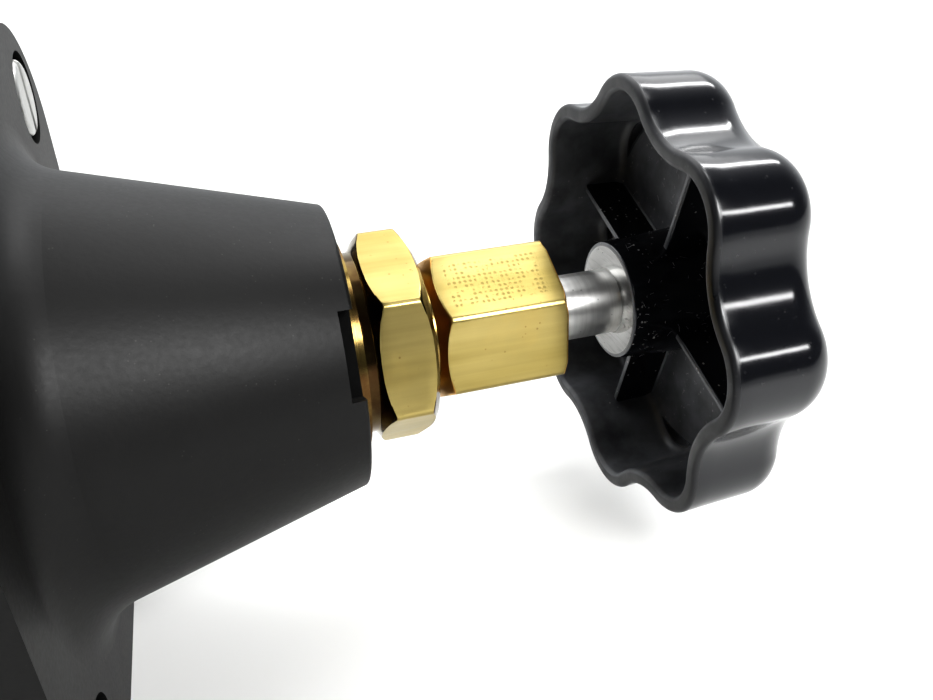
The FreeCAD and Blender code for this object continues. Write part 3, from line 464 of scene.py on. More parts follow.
def turned_brass(name, look, tone=(0.26, 0.14, 0.05), tarnish=0.9):
    """Lathe-turned brass: rings about the stem and a warmer, browner tone."""
    g = Graph(name)
    place = g.place()
    x, _, _, radius = about_axis(g)
    rings = lathe_rings(g, x, radius)
    cloud = g.noise(place, 240.0, 4.0, 0.6)
    base = g.mix(g.ramp(rings, 0.3, 0.7), shade(look.brass, 0.80), shade(look.brass, 1.05))
    # the skin's tone and share come from the caller; on the jam washer they are painted shade
    skin = g.ramp(cloud, 0.30, 0.65, 0.3, 1.0) * (tarnish * look.tarnish)
    base = g.mix(skin.least(1.0), base, tone)
    rough = 0.20 + (rings - 0.5) * 0.14 + (cloud - 0.5) * 0.12
    return g.finish(
        Base_Color=base, Metallic=1.0, Roughness=rough,
        Normal=g.bump(rings, 0.25, 0.03 * MM),
    )


def ground_steel(name, tone, rough_level=0.32):
    """Centreless-ground steel: fine rings about the axis, faint stains and nicks."""
    g = Graph(name)
    place = g.place()
    x, _, _, radius = about_axis(g)
    rings = lathe_rings(g, x, radius, 5200.0, 3600.0, 2.0, 0.7)
    cloud = g.noise(place, 260.0, 4.0, 0.6)
    nicks = g.spots(place, 800.0, 0.11)
    base = g.mix(g.ramp(rings, 0.3, 0.7), shade(tone, 0.95), shade(tone, 1.05))
    base = g.mix(g.ramp(cloud, 0.5, 0.75) * 0.35, base, shade(tone, 0.72))
    base = g.mix(nicks * 0.45, base, shade(tone, 0.30))
    rough = rough_level + (rings - 0.5) * 0.10 + (cloud - 0.5) * 0.14
    return g.finish(
        Base_Color=base, Metallic=1.0, Roughness=rough,
        Normal=g.bump(rings * 0.5 + cloud * 0.5, 0.12, 0.02 * MM),
    )


def zinc_plate(name, tone):
    """Bright zinc plating: soft blotches, hairline scratches and patches of grime."""
    g = Graph(name)
    place = g.place()
    blotch = g.noise(place, 420.0, 4.0, 0.6)
    scratch = g.noise(g.scaled(place, (900.0, 4200.0, 700.0)), 1.0, 3.0, 0.7, 0.6)
    grime = g.ramp(g.noise(place, 700.0, 3.0), 0.58, 0.72)
    base = g.mix(g.ramp(blotch, 0.35, 0.7), shade(tone, 0.92), shade(tone, 1.15))
    base = g.mix(grime * 0.30, base, shade(tone, 0.45))
    rough = 0.34 + (blotch - 0.5) * 0.18 + (scratch - 0.5) * 0.12
    return g.finish(
        Base_Color=base, Metallic=0.95, Roughness=rough,
        Normal=g.bump(scratch * 0.5 + blotch * 0.5, 0.3, 0.03 * MM),
    )


def moulded_phenolic(name, look, rim_x):
    """Glossy moulded phenolic: flow marks, hairline scuffs, a dulled rim edge, dust in the hollow and a
    painted bluish sheen on its inward faces.
    """
    g = Graph(name)
    place = g.place()
    x, y, level, radius = about_axis(g)
    flow = g.noise(place, 90.0, 3.0, 0.5)
    skin = g.noise(place, 520.0, 2.0, 0.5)
    scuff = g.noise(g.scaled(place, (700.0, 160.0, 2600.0)), 1.0, 4.0, 0.7, 0.8)
    worn = g.below(x, rim_x + 0.25 * MM, rim_x + 0.95 * MM) * g.ramp(radius, 20.0 * MM, 21.0 * MM)
    worn_patch = worn * g.ramp(g.noise(place, 210.0, 4.0, 0.65), 0.25, 0.65, 0.35, 1.0)
    specks = g.spots(place, 1150.0, 0.20) * g.ramp(g.noise(place, 260.0, 2.0), 0.50, 0.60)
    inside = g.below(radius, 21.5 * MM, 22.5 * MM)
    enclosed = inside * g.below(x, rim_x + 11.0 * MM, rim_x + 11.5 * MM)
    dust = specks * (0.08 + enclosed * 1.2) * look.dust
    facing_x, facing_y, facing_z = g.split(g.facing())
    inward = g.below((facing_y * y + facing_z * level) / radius, -0.5, -0.1)
    rearward = g.below(facing_x, -0.8, -0.5)
    hollow = inward.most(rearward * inside)
    # a moulded-in steel insert shows as the hub's flat end
    insert = rearward * g.below(radius, 6.7 * MM, 6.9 * MM) * g.below(x, rim_x, rim_x + 0.1 * MM)
    base = g.mix(worn_patch * 0.6, look.phenolic, (0.014, 0.0145, 0.016))
    # partly dust, partly painted sheen: the inward faces inside the wheel are lightened with a bluish
    # grey, standing in for the sheen on them
    dust_and_painted_sheen = hollow * g.ramp(g.noise(place, 160.0, 4.0, 0.6), 0.3, 0.7, 0.4, 1.0)
    base = g.mix(dust_and_painted_sheen * look.dust, base, (0.30, 0.31, 0.33))
    base = g.mix(dust, base, (0.46, 0.45, 0.43))
    metal = g.mix(g.ramp(scuff, 0.45, 0.7), shade(look.steel, 0.38), shade(look.steel, 0.29))
    base = g.mix(insert, base, metal)
    marks = g.ramp(scuff, 0.66, 0.78)
    rough = 0.145 + (flow - 0.5) * 0.05 + (skin - 0.5) * 0.04
    rough = rough + marks * 0.12 + worn_patch * 0.34 + dust * 0.5 + hollow * 0.20 - insert * 0.24
    return g.finish(
        Base_Color=base, Metallic=insert, Roughness=rough, IOR=1.58, Specular_IOR_Level=0.5,
        Normal=g.bump(flow * 1.0 + skin * 0.12 + dust * 0.3, 0.20, 0.25 * MM),
    )


def soft_solid(name, tone, rough, scale, depth, metallic=0.0):
    """A plain seal, packing or annealed material with a fine grain and slight unevenness."""
    g = Graph(name)
    place = g.place()
    grain = g.noise(place, scale, 4.0, 0.6)
    cloud = g.noise(place, scale / 9, 3.0)
    base = g.mix(g.ramp(grain, 0.3, 0.7), shade(tone, 0.82), shade(tone, 1.16))
    base = g.mix(g.ramp(cloud, 0.5, 0.75) * 0.3, base, shade(tone, 0.7))
    return g.finish(
        Base_Color=base, Metallic=metallic, Roughness=rough + (grain - 0.5) * 0.15,
        Normal=g.bump(grain, 0.35, depth),
    )


def lint(name):
    """Pale textile lint."""
    g = Graph(name)
    tone = g.noise(g.place(), 500.0, 2.0)
    return g.finish(
        Base_Color=g.mix(tone, (0.30, 0.29, 0.28), (0.80, 0.78, 0.75)),
        Roughness=0.6 + (tone - 0.5) * 0.2,
    )


def pale_floor(name, tone):
    """A plain matt pale floor with a barely visible grain."""
    g = Graph(name)
    place = g.place()
    grain = g.noise(place, 900.0, 2.0)
    cloud = g.noise(place, 3.0, 2.0)
    base = g.mix(g.ramp(cloud, 0.3, 0.7), shade(tone, 0.985), tone)
    return g.finish(
        Base_Color=base, Roughness=0.72 + (grain - 0.5) * 0.1, Specular_IOR_Level=0.2,
        Emission_Color=(1.0, 0.985, 0.96, 1.0), Emission_Strength=0.08,
        Normal=g.bump(grain, 0.06, 0.05 * MM),
    )


# ---------------------------------------------------------------- mesh tools

def linked(name, data):
    """A new object in the scene."""
    made = bpy.data.objects.new(name, data)
    bpy.context.scene.collection.objects.link(made)
    return made


def mesh_object(name, vertices, faces):
    """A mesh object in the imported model's frame, its faces pointing outward."""
    mesh = bpy.data.meshes.new(name)
    mesh.from_pydata(vertices, [], faces)
    work = bmesh.new()
    work.from_mesh(mesh)
    bmesh.ops.remove_doubles(work, verts=work.verts, dist=0.5e-6)
    bmesh.ops.recalc_face_normals(work, faces=work.faces)
    for face in work.faces:
        face.smooth = True
    work.to_mesh(mesh)
    work.free()
    return linked(name, mesh)


def ring_loft(rings, closed_ends=False, closed_loop=False):
    """Faces joining rings of equal length; the rings may be capped, or joined last to first."""
    vertices = [spot for ring in rings for spot in ring]
    count = len(rings[0])
    faces = []
    steps = len(rings) if closed_loop else len(rings) - 1
    for step in range(steps):
        low, high = step * count, (step + 1) % len(rings) * count
        for index in range(count):
            following = (index + 1) % count
            faces.append((low + index, low + following, high + following, high + index))
    if closed_ends:
        faces.append(tuple(range(count)))
        faces.append(tuple(range(len(vertices) - count, len(vertices))))
    return vertices, faces


def about_stem(x, radius, turn):
    """A point at a distance from the stem's axis, at an angle from straight up towards +Y."""
    return (x, radius * math.sin(turn), AXIS_Z + radius * math.cos(turn))


def arc(steps):
    """Shares of a quarter turn, both ends included."""
    return [index / steps * math.pi / 2 for index in range(steps + 1)]


def add_piece(made, body, slot, material, *replaced):
    """Dress a finished piece, let it ride its body and hide the imported nodes it replaces."""
    made.data.materials.clear()
    made.data.materials.append(material)
    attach(made, body)
    if replaced:
        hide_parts(*replaced)


# ---------------------------------------------------------------- handwheel

def lobed_radius(theta, wheel, inset):
    """Radius of the lobed outline, moved inward by an inset."""
    pitch = 2 * math.pi / wheel.lobes
    half = pitch / 2
    centre = wheel.crest - wheel.lobe
    share = centre * math.cos(half)
    hollow = (centre ** 2 + wheel.valley ** 2 - 2 * share * wheel.valley - wheel.lobe ** 2) / (
        2 * (wheel.lobe - wheel.valley + share)
    )
    hollow_centre = wheel.valley + hollow
    lobe, hollow = wheel.lobe - inset, hollow + inset
    # the two arcs touch on the line between their centres
    weight = lobe / (lobe + hollow)
    touch_x = centre + (hollow_centre * math.cos(half) - centre) * weight
    touch_y = hollow_centre * math.sin(half) * weight
    away = abs((theta + half) % pitch - half)
    if away <= math.atan2(touch_y, touch_x):
        return centre * math.cos(away) + math.sqrt(lobe ** 2 - (centre * math.sin(away)) ** 2)
    off = half - away
    chord = math.sqrt(hollow ** 2 - (hollow_centre * math.sin(off)) ** 2)
    return hollow_centre * math.cos(off) - chord


def wheel_stations(wheel, hub_face):
    """The wheel's section as (x, inset or None, radius or None, share of the round radius) rows."""
    rim = hub_face + wheel.rim_gap
    front = WHEEL_BOX[1].x
    floor = rim + wheel.cavity
    slope = math.tan(wheel.draft)
    fillet, edge = wheel.front_round, wheel.edge_round
    rows = []

    def lobed(x, inset):
        rows.append((x, inset, 0.0, 0.0))

    def blended(x, inset, radius, share):
        rows.append((x, inset, radius, share))

    def turned(x, radius):
        rows.append((x, 0.0, radius, 1.0))

    bevel = 0.35 * MM
    recess_floor = front - wheel.recess_depth
    turned(recess_floor, wheel.bore)
    turned(recess_floor, wheel.recess - bevel)
    for turn in arc(4):
        turned(recess_floor + bevel * (1 - math.cos(turn)), wheel.recess - bevel + bevel * math.sin(turn))
    for turn in arc(4):
        turned(front - bevel + bevel * math.sin(turn), wheel.recess + bevel * (1 - math.cos(turn)))
    for share in (0.9, 0.7, 0.5, 0.3, 0.15, 0.05):
        blended(front, slope * wheel.cavity + fillet + 0.1 * MM, wheel.recess + 1.5 * MM, share)
    side_inset = slope * (front - fillet - rim)
    for turn in reversed(arc(14)):
        lobed(front - fillet + fillet * math.sin(turn), side_inset + fillet * (1 - math.cos(turn)))
    for share in (0.75, 0.5, 0.25):
        x = rim + edge + (front - fillet - rim - edge) * share
        lobed(x, slope * (x - rim))
    for turn in arc(5):
        lobed(rim + edge - edge * math.sin(turn), edge * (1 - math.cos(turn)))
    for turn in reversed(arc(5)):
        lobed(rim + edge - edge * math.sin(turn), wheel.wall - edge * (1 - math.cos(turn)))
    corner = wheel.floor_round
    for share in (0.25, 0.5, 0.75):
        x = rim + edge + (floor - corner - rim - edge) * share
        lobed(x, wheel.wall + slope * (x - rim))
    wall_inset = wheel.wall + slope * (floor - corner - rim)
    for turn in arc(6):
        lobed(floor - corner + corner * math.sin(turn), wall_inset + corner * (1 - math.cos(turn)))
    foot = 0.9 * MM
    hub_foot = wheel.hub + math.tan(wheel.hub_draft) * (floor - hub_face)
    for share in (0.1, 0.35, 0.65, 0.9, 1.0):
        blended(floor, wall_inset + corner, hub_foot + foot, share)
    for turn in arc(5)[1:]:
        turned(floor - foot * (1 - math.cos(turn)), hub_foot + foot * (1 - math.sin(turn)))
    for share in (0.75, 0.5, 0.25):
        x = hub_face + (floor - foot - hub_face) * share
        turned(x, wheel.hub + math.tan(wheel.hub_draft) * (x - hub_face))
    nose = 0.25 * MM
    for turn in arc(4):
        turned(hub_face + nose - nose * math.sin(turn), wheel.hub - nose * (1 - math.cos(turn)))
    turned(hub_face, wheel.bore + 0.2 * MM)
    turned(hub_face + 0.2 * MM, wheel.bore)
    return rows


def wheel_rib(wheel, turn, hub_face):
    """One rib: a thin wall from the hub along the floor, its foot flared and its outer end rounded."""
    floor = hub_face + wheel.rim_gap + wheel.cavity
    half, height, flare = wheel.rib_width / 2, wheel.rib_height, 0.55 * MM
    start, reach, end_round = wheel.hub - 0.4 * MM, wheel.rib_reach, 1.3 * MM
    places = [start + (reach - end_round - start) * step / 6 for step in range(7)]
    rows = [(place, height, half) for place in places]
    for quarter in arc(6)[1:]:
        rows.append((
            reach - end_round + end_round * math.sin(quarter),
            height - end_round * (1 - math.cos(quarter)), half,
        ))
    rows.append((reach + 0.05 * MM, height * 0.4, half))
    rows.append((reach + 0.25 * MM, -0.2 * MM, half + flare))
    top_round = 0.3 * MM
    rings = []
    for place, tall, wide in rows:
        side = [(wide + flare, -0.2 * MM), (wide + flare, 0.02 * MM)]
        side += [
            (wide + flare * (1 - math.sin(q)), flare * (1 - math.cos(q))) for q in arc(4)[1:]
        ]
        side += [
            (wide - top_round * (1 - math.cos(q)) - 0.05 * MM, tall - top_round + top_round * math.sin(q))
            for q in arc(4)
        ]
        section = side + [(-w, h) for w, h in reversed(side)]
        spread = [(w, min(h, max(tall, -0.2 * MM))) for w, h in section]
        ring = []
        for wide_at, high_at in spread:
            y = place * math.sin(turn) + wide_at * math.cos(turn)
            z = place * math.cos(turn) - wide_at * math.sin(turn)
            ring.append((floor - high_at, y, AXIS_Z + z))
        rings.append(ring)
    return ring_loft(rings, closed_ends=True)


def build_wheel(wheel, look):
    """The moulded wheel: one lofted skin and four ribs."""
    hub_face = WHEEL_BOX[0].x
    samples = wheel.lobes * SAMPLES_PER_LOBE
    rings = []
    for x, inset, radius, share in wheel_stations(wheel, hub_face):
        ring = []
        for index in range(samples):
            theta = 2 * math.pi * index / samples
            reach = radius if share >= 1.0 else (
                lobed_radius(theta, wheel, inset) * (1 - share) + radius * share
            )
            ring.append(about_stem(x, reach, theta - wheel.turn))
        rings.append(ring)
    made = mesh_object("handwheel_moulding", *ring_loft(rings, closed_loop=True))
    finish = moulded_phenolic("handwheel_phenolic", look, hub_face + wheel.rim_gap)
    add_piece(made, "spindle", "wheel_phenolic", finish, "handwheel")
    count = wheel.lobes // 2
    for number in range(count):
        turn = 2 * math.pi * number / count - math.pi / wheel.lobes - wheel.turn
        rib = mesh_object("handwheel_rib_%d" % (number + 1), *wheel_rib(wheel, turn, hub_face))
        rib.data.set_sharp_from_angle(angle=math.radians(50))
        add_piece(rib, "spindle", "wheel_phenolic", finish)


def build_lint(wheel):
    """Short fibres caught round the hub, on the ribs' floor and inside the rim."""
    dice = random.Random(11)
    hub_face = WHEEL_BOX[0].x
    floor = hub_face + wheel.rim_gap + wheel.cavity
    vertices, faces = [], []
    for _ in range(wheel.fibres):
        where = dice.random()
        turn = dice.uniform(0, 2 * math.pi)
        if where < 0.55:
            x = dice.uniform(hub_face + 0.3 * MM, floor - 1.5 * MM)
            radius = wheel.hub + math.tan(wheel.hub_draft) * (x - hub_face)
            outward = Vector((0, math.sin(turn), math.cos(turn)))
        else:
            x = floor
            radius = dice.uniform(wheel.hub + 2 * MM, wheel.valley - 4 * MM)
            outward = Vector((-1, 0, 0))
        spot = Vector(about_stem(x, radius, turn)) + outward * (0.02 * MM)
        heading = Vector([dice.uniform(-1, 1) for _ in range(3)])
        heading = (heading - outward * heading.dot(outward) * 0.75).normalized()
        bend = Vector([dice.uniform(-1, 1) for _ in range(3)]) * 0.45
        reach = dice.uniform(0.25, 1.1) * MM
        thick = dice.uniform(0.008, 0.018) * MM
        steps = 6
        line = []
        for step in range(steps):
            line.append(spot.copy())
            heading = (heading + bend / steps + outward * 0.06).normalized()
            spot = spot + heading * (reach / steps)
        rings = []
        for step, middle in enumerate(line):
            along = (line[min(step + 1, steps - 1)] - line[max(step - 1, 0)]).normalized()
            side = along.orthogonal().normalized()
            other = along.cross(side)
            rings.append([
                tuple(middle + (side * math.cos(a) + other * math.sin(a)) * thick)
                for a in (0, math.pi * 2 / 3, math.pi * 4 / 3)
            ])
        more, joined = ring_loft(rings, closed_ends=True)
        shift = len(vertices)
        vertices += more
        faces += [tuple(shift + index for index in face) for face in joined]
    made = mesh_object("handwheel_lint", vertices, faces)
    add_piece(made, "spindle", "wheel_phenolic", lint("lint"))


# ---------------------------------------------------------------- nuts

def sector_angles():
    """Angles round a hexagon, crowded near its corners, counted from one corner."""
    offsets = (0.0, 0.35, 0.7, 1.1, 1.6, 2.3, 3.4, 5.0, 7.5, 11.0, 15.0, 20.0, 25.0)
    half = [math.radians(value) for value in offsets]
    turns = []
    for sector in range(6):
        base = sector * math.pi / 3
        turns += [base + value for value in half]
        turns.append(base + math.pi / 6)
        turns += [base + math.pi / 3 - value for value in reversed(half[1:])]
    return turns


def hexagon_radius(turn, flats, break_edge):
    """Radius of a hexagon whose corners are slightly rounded, at an angle from one corner."""
    off = (turn % (math.pi / 3)) - math.pi / 6
    side = flats / 2 / math.cos(off)
    limit = flats / math.sqrt(3) - 1.2 * break_edge
    blend = 1.2 * break_edge
    share = max(0.0, min(1.0, 0.5 + 0.5 * (limit - side) / blend))
    return limit * (1 - share) + side * share - blend * share * (1 - share) * 0.5


def turned_hexagon(name, flats, corner, start, end, faces, bore, edge, boss=None):
    """A hexagon nut along X: chamfered at 30 degrees from the radii in faces, bored and stepped.

    faces holds the two end faces' radii, bore the radii at the start and the end and the end step's
    depth, and boss the radius and length of a round boss at the start.
    """
    turns = sector_angles()
    sides = [hexagon_radius(turn, flats, edge) for turn in turns]
    hex_start = start + boss[1] if boss else start
    rings = []

    def ring(x_of, radius_of):
        """Add a ring, its place and radius worked out from the hexagon's radius at each angle."""
        rings.append([
            about_stem(x_of(side), radius_of(side), turn + corner) for side, turn in zip(sides, turns)
        ])

    if boss:
        radius = boss[0]
        ring(lambda s: start, lambda s: radius - 2.5 * edge)
        for quarter in reversed(arc(3)):
            ring(
                lambda s, q=quarter: start + 2 * edge - 2 * edge * math.sin(q),
                lambda s, q=quarter: radius - 2 * edge * (1 - math.cos(q)),
            )
        ring(lambda s: hex_start - edge, lambda s: radius)
        ring(lambda s: hex_start + edge * 0.5, lambda s: min(radius + edge * 0.6, s))
    else:
        ring(lambda s: hex_start, lambda s: min(faces[0], s) - edge)
        ring(lambda s: hex_start + 0.3 * edge, lambda s: min(faces[0], s) - 0.3 * edge)

    def crease(side, face):
        return max(0.0, side - face) * HEX_SLOPE

    low_end, high_end = faces
    for share in (0.25, 0.5, 0.75, 0.93):
        ring(
            lambda s, p=share: hex_start + edge + crease(s, low_end) * p,
            lambda s, p=share: min(s, low_end + max(0.0, s - low_end) * p + 0.3 * edge),
        )
    ring(lambda s: hex_start + edge + crease(s, low_end) + edge * 0.2, lambda s: s - 0.25 * edge)
    ring(lambda s: hex_start + edge + crease(s, low_end) + edge * 1.4, lambda s: s)
    for share in (0.2, 0.4, 0.6, 0.8):
        ring(
            lambda s, p=share: (hex_start + crease(s, low_end) + 3 * edge) * (1 - p)
            + (end - crease(s, high_end) - 3 * edge) * p,
            lambda s: s,
        )
    ring(lambda s: end - edge - crease(s, high_end) - edge * 1.4, lambda s: s)
    ring(lambda s: end - edge - crease(s, high_end) - edge * 0.2, lambda s: s - 0.25 * edge)
    for share in (0.93, 0.75, 0.5, 0.25):
        ring(
            lambda s, p=share: end - edge - crease(s, high_end) * p,
            lambda s, p=share: min(s, high_end + max(0.0, s - high_end) * p + 0.3 * edge),
        )
    ring(lambda s: end - 0.3 * edge, lambda s: min(high_end, s) - 0.3 * edge)
    ring(lambda s: end, lambda s: min(high_end, s) - edge)
    lead = 0.35 * MM
    ring(lambda s: end, lambda s: bore[1] + lead)
    ring(lambda s: end - lead, lambda s: bore[1])
    if bore[0] != bore[1]:
        roof = end - bore[2]
        ring(lambda s: roof, lambda s: bore[1])
        ring(lambda s: roof, lambda s: bore[0])
    ring(lambda s: start + lead, lambda s: bore[0])
    ring(lambda s: start, lambda s: bore[0] + lead)
    made = mesh_object(name, *ring_loft(rings, closed_loop=True))
    made.data.set_sharp_from_angle(angle=math.radians(35))
    return made


def build_nuts(nuts, look):
    """Jam nut, packing nut and wheel nut."""
    # painted shade: the jam nut's turned boss and ends are coloured near black, standing in for the dark
    # reflection on them
    brass = drawn_brass(
        "jam_nut_brass_painted_shade", look, (0.060, 0.033, 0.016), 0.6, boss_end=JAM_BOX[0].x + nuts.jam_boss_length,
    )
    jam = turned_hexagon(
        "jam_nut_turned", nuts.jam_flats, nuts.jam_corner, JAM_BOX[0].x, JAM_BOX[1].x,
        (nuts.jam_boss, nuts.jam_boss), (JAM_BORE, JAM_BORE, 0.0), nuts.break_edge,
        boss=(nuts.jam_boss, nuts.jam_boss_length),
    )
    add_piece(jam, "housing", "nut_brass", brass, "jam_nut")
    packing = turned_hexagon(
        "packing_nut_turned", nuts.packing_flats, nuts.packing_corner,
        PACKING_BOX[0].x, PACKING_BOX[1].x,
        (nuts.packing_face, nuts.packing_flats / 2 + 0.55 * MM),
        (BUSHING_BORE, STEM_CLEARANCE, 2.4 * MM), nuts.break_edge,
    )
    # painted highlight: the packing nut's turned ends are coloured bright orange, standing in for the
    # glint on them
    stamped = drawn_brass("packing_nut_brass_painted_light", look, (0.66, 0.38, 0.12), 0.0, stamp=True)
    add_piece(packing, "housing", "nut_brass", stamped, "packing_nut")
    wheel_nut = turned_hexagon(
        "wheel_nut_turned", nuts.wheel_flats, 0.0, WHEEL_NUT_BOX[0].x, WHEEL_NUT_BOX[1].x,
        (nuts.wheel_flats / 2 - 0.1 * MM, nuts.wheel_flats / 2 - 0.1 * MM),
        (WHEEL_NUT_BORE, WHEEL_NUT_BORE, 0.0), nuts.break_edge,
    )
    add_piece(wheel_nut, "spindle", "screw_steel", zinc_plate("wheel_nut_zinc", look.zinc), "wheel_nut")


# ---------------------------------------------------------------- bonnet screws

def build_screws(look):
    """Four cheese-head screws with rounded heads, sawn slots and plain shanks."""
    finish = zinc_plate("screw_zinc", look.zinc)
    head_top, tail = SCREW_BOX[1].x, SCREW_BOX[0].x
    seat = WASHER_BOX[1].x
    head, shank = 4.3 * MM, 2.45 * MM
    across = SCREW_BOX[1].y - head
    up = SCREW_BOX[1].z - head - AXIS_Z
    turns = [2 * math.pi * index / 64 for index in range(64)]
    crown = 0.7 * MM
    point, under = 0.6 * MM, 0.2 * MM
    profile = [(tail, shank - point), (tail + point, shank), (seat, shank)]
    profile += [(seat, head - under), (seat + under, head)]
    profile += [
        (head_top - crown + crown * math.sin(q), head - crown * (1 - math.cos(q))) for q in arc(6)
    ]
    slot_width, slot_depth, blade_tall = 1.2 * MM, 1.4 * MM, 4 * MM
    for number, (side, level) in enumerate(((-1, -1), (-1, 1), (1, -1), (1, 1)), start=1):
        middle = Vector((0, side * across, AXIS_Z + level * up))
        rings = [
            [(x, middle.y + radius * math.sin(t), middle.z + radius * math.cos(t)) for t in turns]
            for x, radius in profile
        ]
        made = mesh_object("bonnet_screw_%d" % number, *ring_loft(rings, closed_ends=True))
        cutter = bpy.data.meshes.new("slot_cutter")
        blade = bmesh.new()
        bmesh.ops.create_cube(blade, size=1.0)
        bmesh.ops.scale(blade, vec=(blade_tall, slot_width, 12 * MM), verts=blade.verts)
        blade_at = (head_top - slot_depth + blade_tall / 2, middle.y, middle.z)
        bmesh.ops.translate(blade, vec=blade_at, verts=blade.verts)
        blade.to_mesh(cutter)
        blade.free()
        tool = linked("slot_cutter", cutter)
        saw = made.modifiers.new("slot", "BOOLEAN")
        saw.operation = "DIFFERENCE"
        saw.solver = "EXACT"
        saw.object = tool
        bake_modifiers(made)
        bpy.data.objects.remove(tool)
        bpy.data.meshes.remove(cutter)
        softer = made.modifiers.new("edges", "BEVEL")
        softer.width = 0.09 * MM
        softer.segments = 2
        softer.limit_method = "ANGLE"
        softer.angle_limit = math.radians(40)
        bake_modifiers(made)
        made.data.set_sharp_from_angle(angle=math.radians(40))
        # the first screw hides the imported node that the four stand for
        add_piece(made, "housing", "screw_steel", finish, *(["bonnet_screws"] if number == 1 else []))


def bake_modifiers(made):
    """Put an object's modifiers into its mesh."""
    bpy.context.view_layer.update()
    shaped = bpy.data.meshes.new_from_object(made.evaluated_get(bpy.context.evaluated_depsgraph_get()))
    made.modifiers.clear()
    old, made.data = made.data, shaped
    shaped.name = old.name
    bpy.data.meshes.remove(old)


# ---------------------------------------------------------------- stage

def build_floor(stage):
    """A flat pale floor."""
    half = stage.floor_size / 2
    work = bmesh.new()
    bmesh.ops.create_grid(work, x_segments=24, y_segments=24, size=half)
    mesh = bpy.data.meshes.new("floor")
    work.to_mesh(mesh)
    work.free()
    floor = linked("floor", mesh)
    floor.location.z = BODY_BOX[0].z - 0.02 * MM
    floor.data.materials.append(pale_floor("pale_floor", stage.floor))


def add_light(name, place, target, size, watts):
    """A rectangular soft light aimed at a point, its long side along the stem."""
    lamp = bpy.data.lights.new(name, "AREA")
    lamp.shape = "RECTANGLE"
    lamp.size, lamp.size_y = size
    lamp.energy = watts
    made = linked(name, lamp)
    back = (Vector(place) - Vector(target)).normalized()
    short = back.cross(Vector((1, 0, 0))).normalized()
    turn = Matrix((short.cross(back), short, back)).transposed()
    made.matrix_world = Matrix.Translation(place) @ turn.to_4x4()


def overhead(lean, tilt):
    """The direction leaning from overhead towards the inlet side and tilted forward, in degrees."""
    lean, tilt = math.radians(lean), math.radians(tilt)
    return Vector((math.sin(tilt), -math.cos(tilt) * math.sin(lean), math.cos(tilt) * math.cos(lean)))


def build_lights(stage):
    """A room bright on the far side and dim on the near side, with strip, fill and window lights."""
    room = Graph("room", bpy.data.worlds, "Background")
    y = room.split(room.wire(room.node("ShaderNodeTexCoord"), "Generated"))[1]
    far = room.ramp(y, -0.25, 0.75, stage.sky_near, stage.sky_far)
    glow = room.mix(far, (0.0, 0.0, 0.0), (0.96, 0.98, 1.0))
    room.finish(Color=glow, Strength=stage.sky)
    bpy.context.scene.world = room.material
    wheel = Vector((WHEEL_BOX[0].x, 0.0, AXIS_Z))
    for number, (lean, power) in enumerate(STRIPS, start=1):
        spot = wheel + overhead(lean, STRIP_TILT) * stage.strip_distance
        add_light("strip_%d" % number, spot, wheel, STRIP_SIZE, stage.strips * power)
    cone = Vector((NOSE_X, 0.0, AXIS_Z))
    for number, (lean, power) in enumerate(FILLS, start=1):
        spot = cone + overhead(lean, FILL_TILT) * stage.fill_distance
        add_light("fill_%d" % number, spot, cone, FILL_SIZE, stage.fill * power)
    add_light("window", WINDOW_PLACE, WINDOW_AIM, WINDOW_SIZE, stage.window)


def build_camera(stage):
    """The view from beside and above, along the near side of the stem."""
    lens = bpy.data.cameras.new("camera")
    lens.sensor_width = 36.0
    lens.lens = stage.lens
    lens.clip_start, lens.clip_end = 5 * MM, 20.0
    camera = linked("camera", lens)
    right, forward = CAMERA_RIGHT.normalized(), CAMERA_FORWARD.normalized()
    up = right.cross(forward).normalized()
    turn = Matrix((right, up, -forward)).transposed()
    hub = Vector((WHEEL_BOX[0].x, 0.0, AXIS_Z))
    camera.matrix_world = Matrix.Translation(hub + CAMERA_FROM_HUB) @ turn.to_4x4()
    bpy.context.scene.camera = camera


# ---------------------------------------------------------------- operators

class ValveFinishes(bpy.types.Operator):
    """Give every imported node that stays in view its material"""

    bl_idname = "valve.finishes"
    bl_label = "Node finishes"

    def execute(self, context):
        look = context.scene.valve_finish
        coat = powder_coat("powder_coat", look)
        turned = turned_brass("turned_brass", look)
        steel = ground_steel("stem_steel", look.steel)
        bright = ground_steel("bright_steel", shade(look.steel, 1.25), 0.2)
        zinc = zinc_plate("zinc_plate", look.zinc)
        copper = soft_solid("annealed_copper", (0.70, 0.33, 0.19), 0.35, 900.0, 0.02 * MM, metallic=1.0)
        rubber = soft_solid("nitrile_rubber", (0.02, 0.02, 0.02), 0.6, 1500.0, 0.02 * MM)
        fibre = soft_solid("gasket_fibre", (0.06, 0.06, 0.058), 0.85, 2200.0, 0.04 * MM)
        white = soft_solid("packing_ptfe", (0.82, 0.82, 0.80), 0.45, 800.0, 0.02 * MM)
        # painted shade: the jam washer's tone and doubled skin share colour it near black, standing in for
        # the shade and dark reflection on it
        washer_painted_shade = turned_brass("jam_washer_brass_painted_shade", look, (0.10, 0.055, 0.024), 1.9)
        finishes = {
            "valve_body": coat, "bonnet": coat, "bonnet_gasket": fibre, "screw_lock_washers": zinc,
            "stem_bushing": turned, "jam_washer": washer_painted_shade, "packing_washer": turned, "gland_follower": turned,
            "seat_ring": turned, "check_plug": turned, "bushing_seal": rubber, "stem_packing": white,
            "seat_washer": copper, "check_plug_seal": copper, "needle_tip": steel, "stem": steel,
            "needle_ring": bright, "stop_ring": bright, "wheel_washer": zinc, "check_spring": bright,
            "check_ball": bright,
        }
        for name, material in finishes.items():
            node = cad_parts[name]
            node.data.materials.clear()
            node.data.materials.append(material)
        return {"FINISHED"}


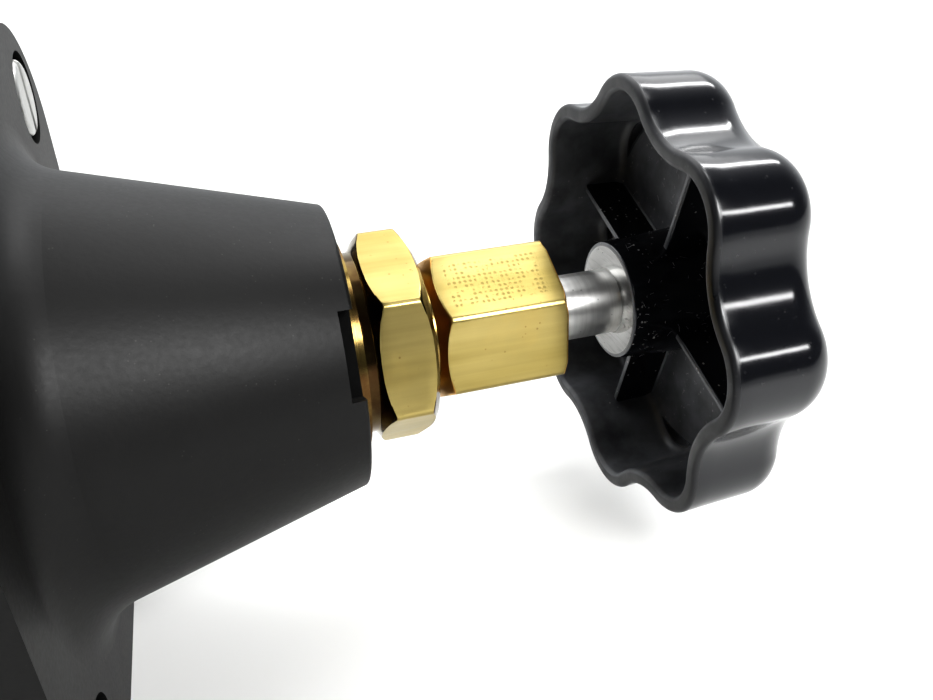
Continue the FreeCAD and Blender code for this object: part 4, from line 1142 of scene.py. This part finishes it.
class ValveHandwheel(bpy.types.Operator):
    """Build the moulded handwheel and the lint caught in it"""

    bl_idname = "valve.handwheel"
    bl_label = "Handwheel"

    def execute(self, context):
        build_wheel(context.scene.valve_wheel, context.scene.valve_finish)
        build_lint(context.scene.valve_wheel)
        return {"FINISHED"}


class ValveNuts(bpy.types.Operator):
    """Build the jam nut, the packing nut and the wheel nut"""

    bl_idname = "valve.nuts"
    bl_label = "Nuts"

    def execute(self, context):
        build_nuts(context.scene.valve_nuts, context.scene.valve_finish)
        return {"FINISHED"}


class ValveScrews(bpy.types.Operator):
    """Build the four bonnet screws"""

    bl_idname = "valve.screws"
    bl_label = "Bonnet screws"

    def execute(self, context):
        build_screws(context.scene.valve_finish)
        return {"FINISHED"}


class ValveStage(bpy.types.Operator):
    """Build the floor, the lights and the camera"""

    bl_idname = "valve.stage"
    bl_label = "Stage"

    def execute(self, context):
        stage = context.scene.valve_stage
        build_floor(stage)
        build_lights(stage)
        build_camera(stage)
        context.scene.view_settings.view_transform = "Standard"
        context.scene.view_settings.look = "High Contrast"
        context.scene.view_settings.exposure = stage.exposure
        return {"FINISHED"}


class VIEW3D_PT_valve(bpy.types.Panel):
    """The valve's pieces, in the sidebar"""

    bl_label = "Flow Control Valve"
    bl_space_type = "VIEW_3D"
    bl_region_type = "UI"
    bl_category = "Valve"

    def draw(self, context):
        for group, operators in (
            ("valve_finish", (ValveFinishes, ValveScrews)),
            ("valve_wheel", (ValveHandwheel,)),
            ("valve_nuts", (ValveNuts,)),
            ("valve_stage", (ValveStage,)),
        ):
            settings = getattr(context.scene, group)
            part = self.layout.box()
            for name in settings.bl_rna.properties.keys():
                if name not in ("rna_type", "name"):
                    part.prop(settings, name)
            for operator in operators:
                part.operator(operator.bl_idname)


SETTINGS = {
    "valve_wheel": ValveWheelSettings,
    "valve_nuts": ValveNutSettings,
    "valve_finish": ValveFinishSettings,
    "valve_stage": ValveStageSettings,
}
OPERATORS = (ValveFinishes, ValveHandwheel, ValveNuts, ValveScrews, ValveStage)


def register():
    for made in (*SETTINGS.values(), *OPERATORS, VIEW3D_PT_valve):
        bpy.utils.register_class(made)
    for name, settings in SETTINGS.items():
        setattr(bpy.types.Scene, name, bpy.props.PointerProperty(type=settings))


def unregister():
    for name in SETTINGS:
        delattr(bpy.types.Scene, name)
    for made in reversed((*SETTINGS.values(), *OPERATORS, VIEW3D_PT_valve)):
        bpy.utils.unregister_class(made)


def main():
    register()
    bpy.ops.valve.finishes()
    bpy.ops.valve.handwheel()
    bpy.ops.valve.nuts()
    bpy.ops.valve.screws()
    bpy.ops.valve.stage()


if __name__ == "__main__":
    main()
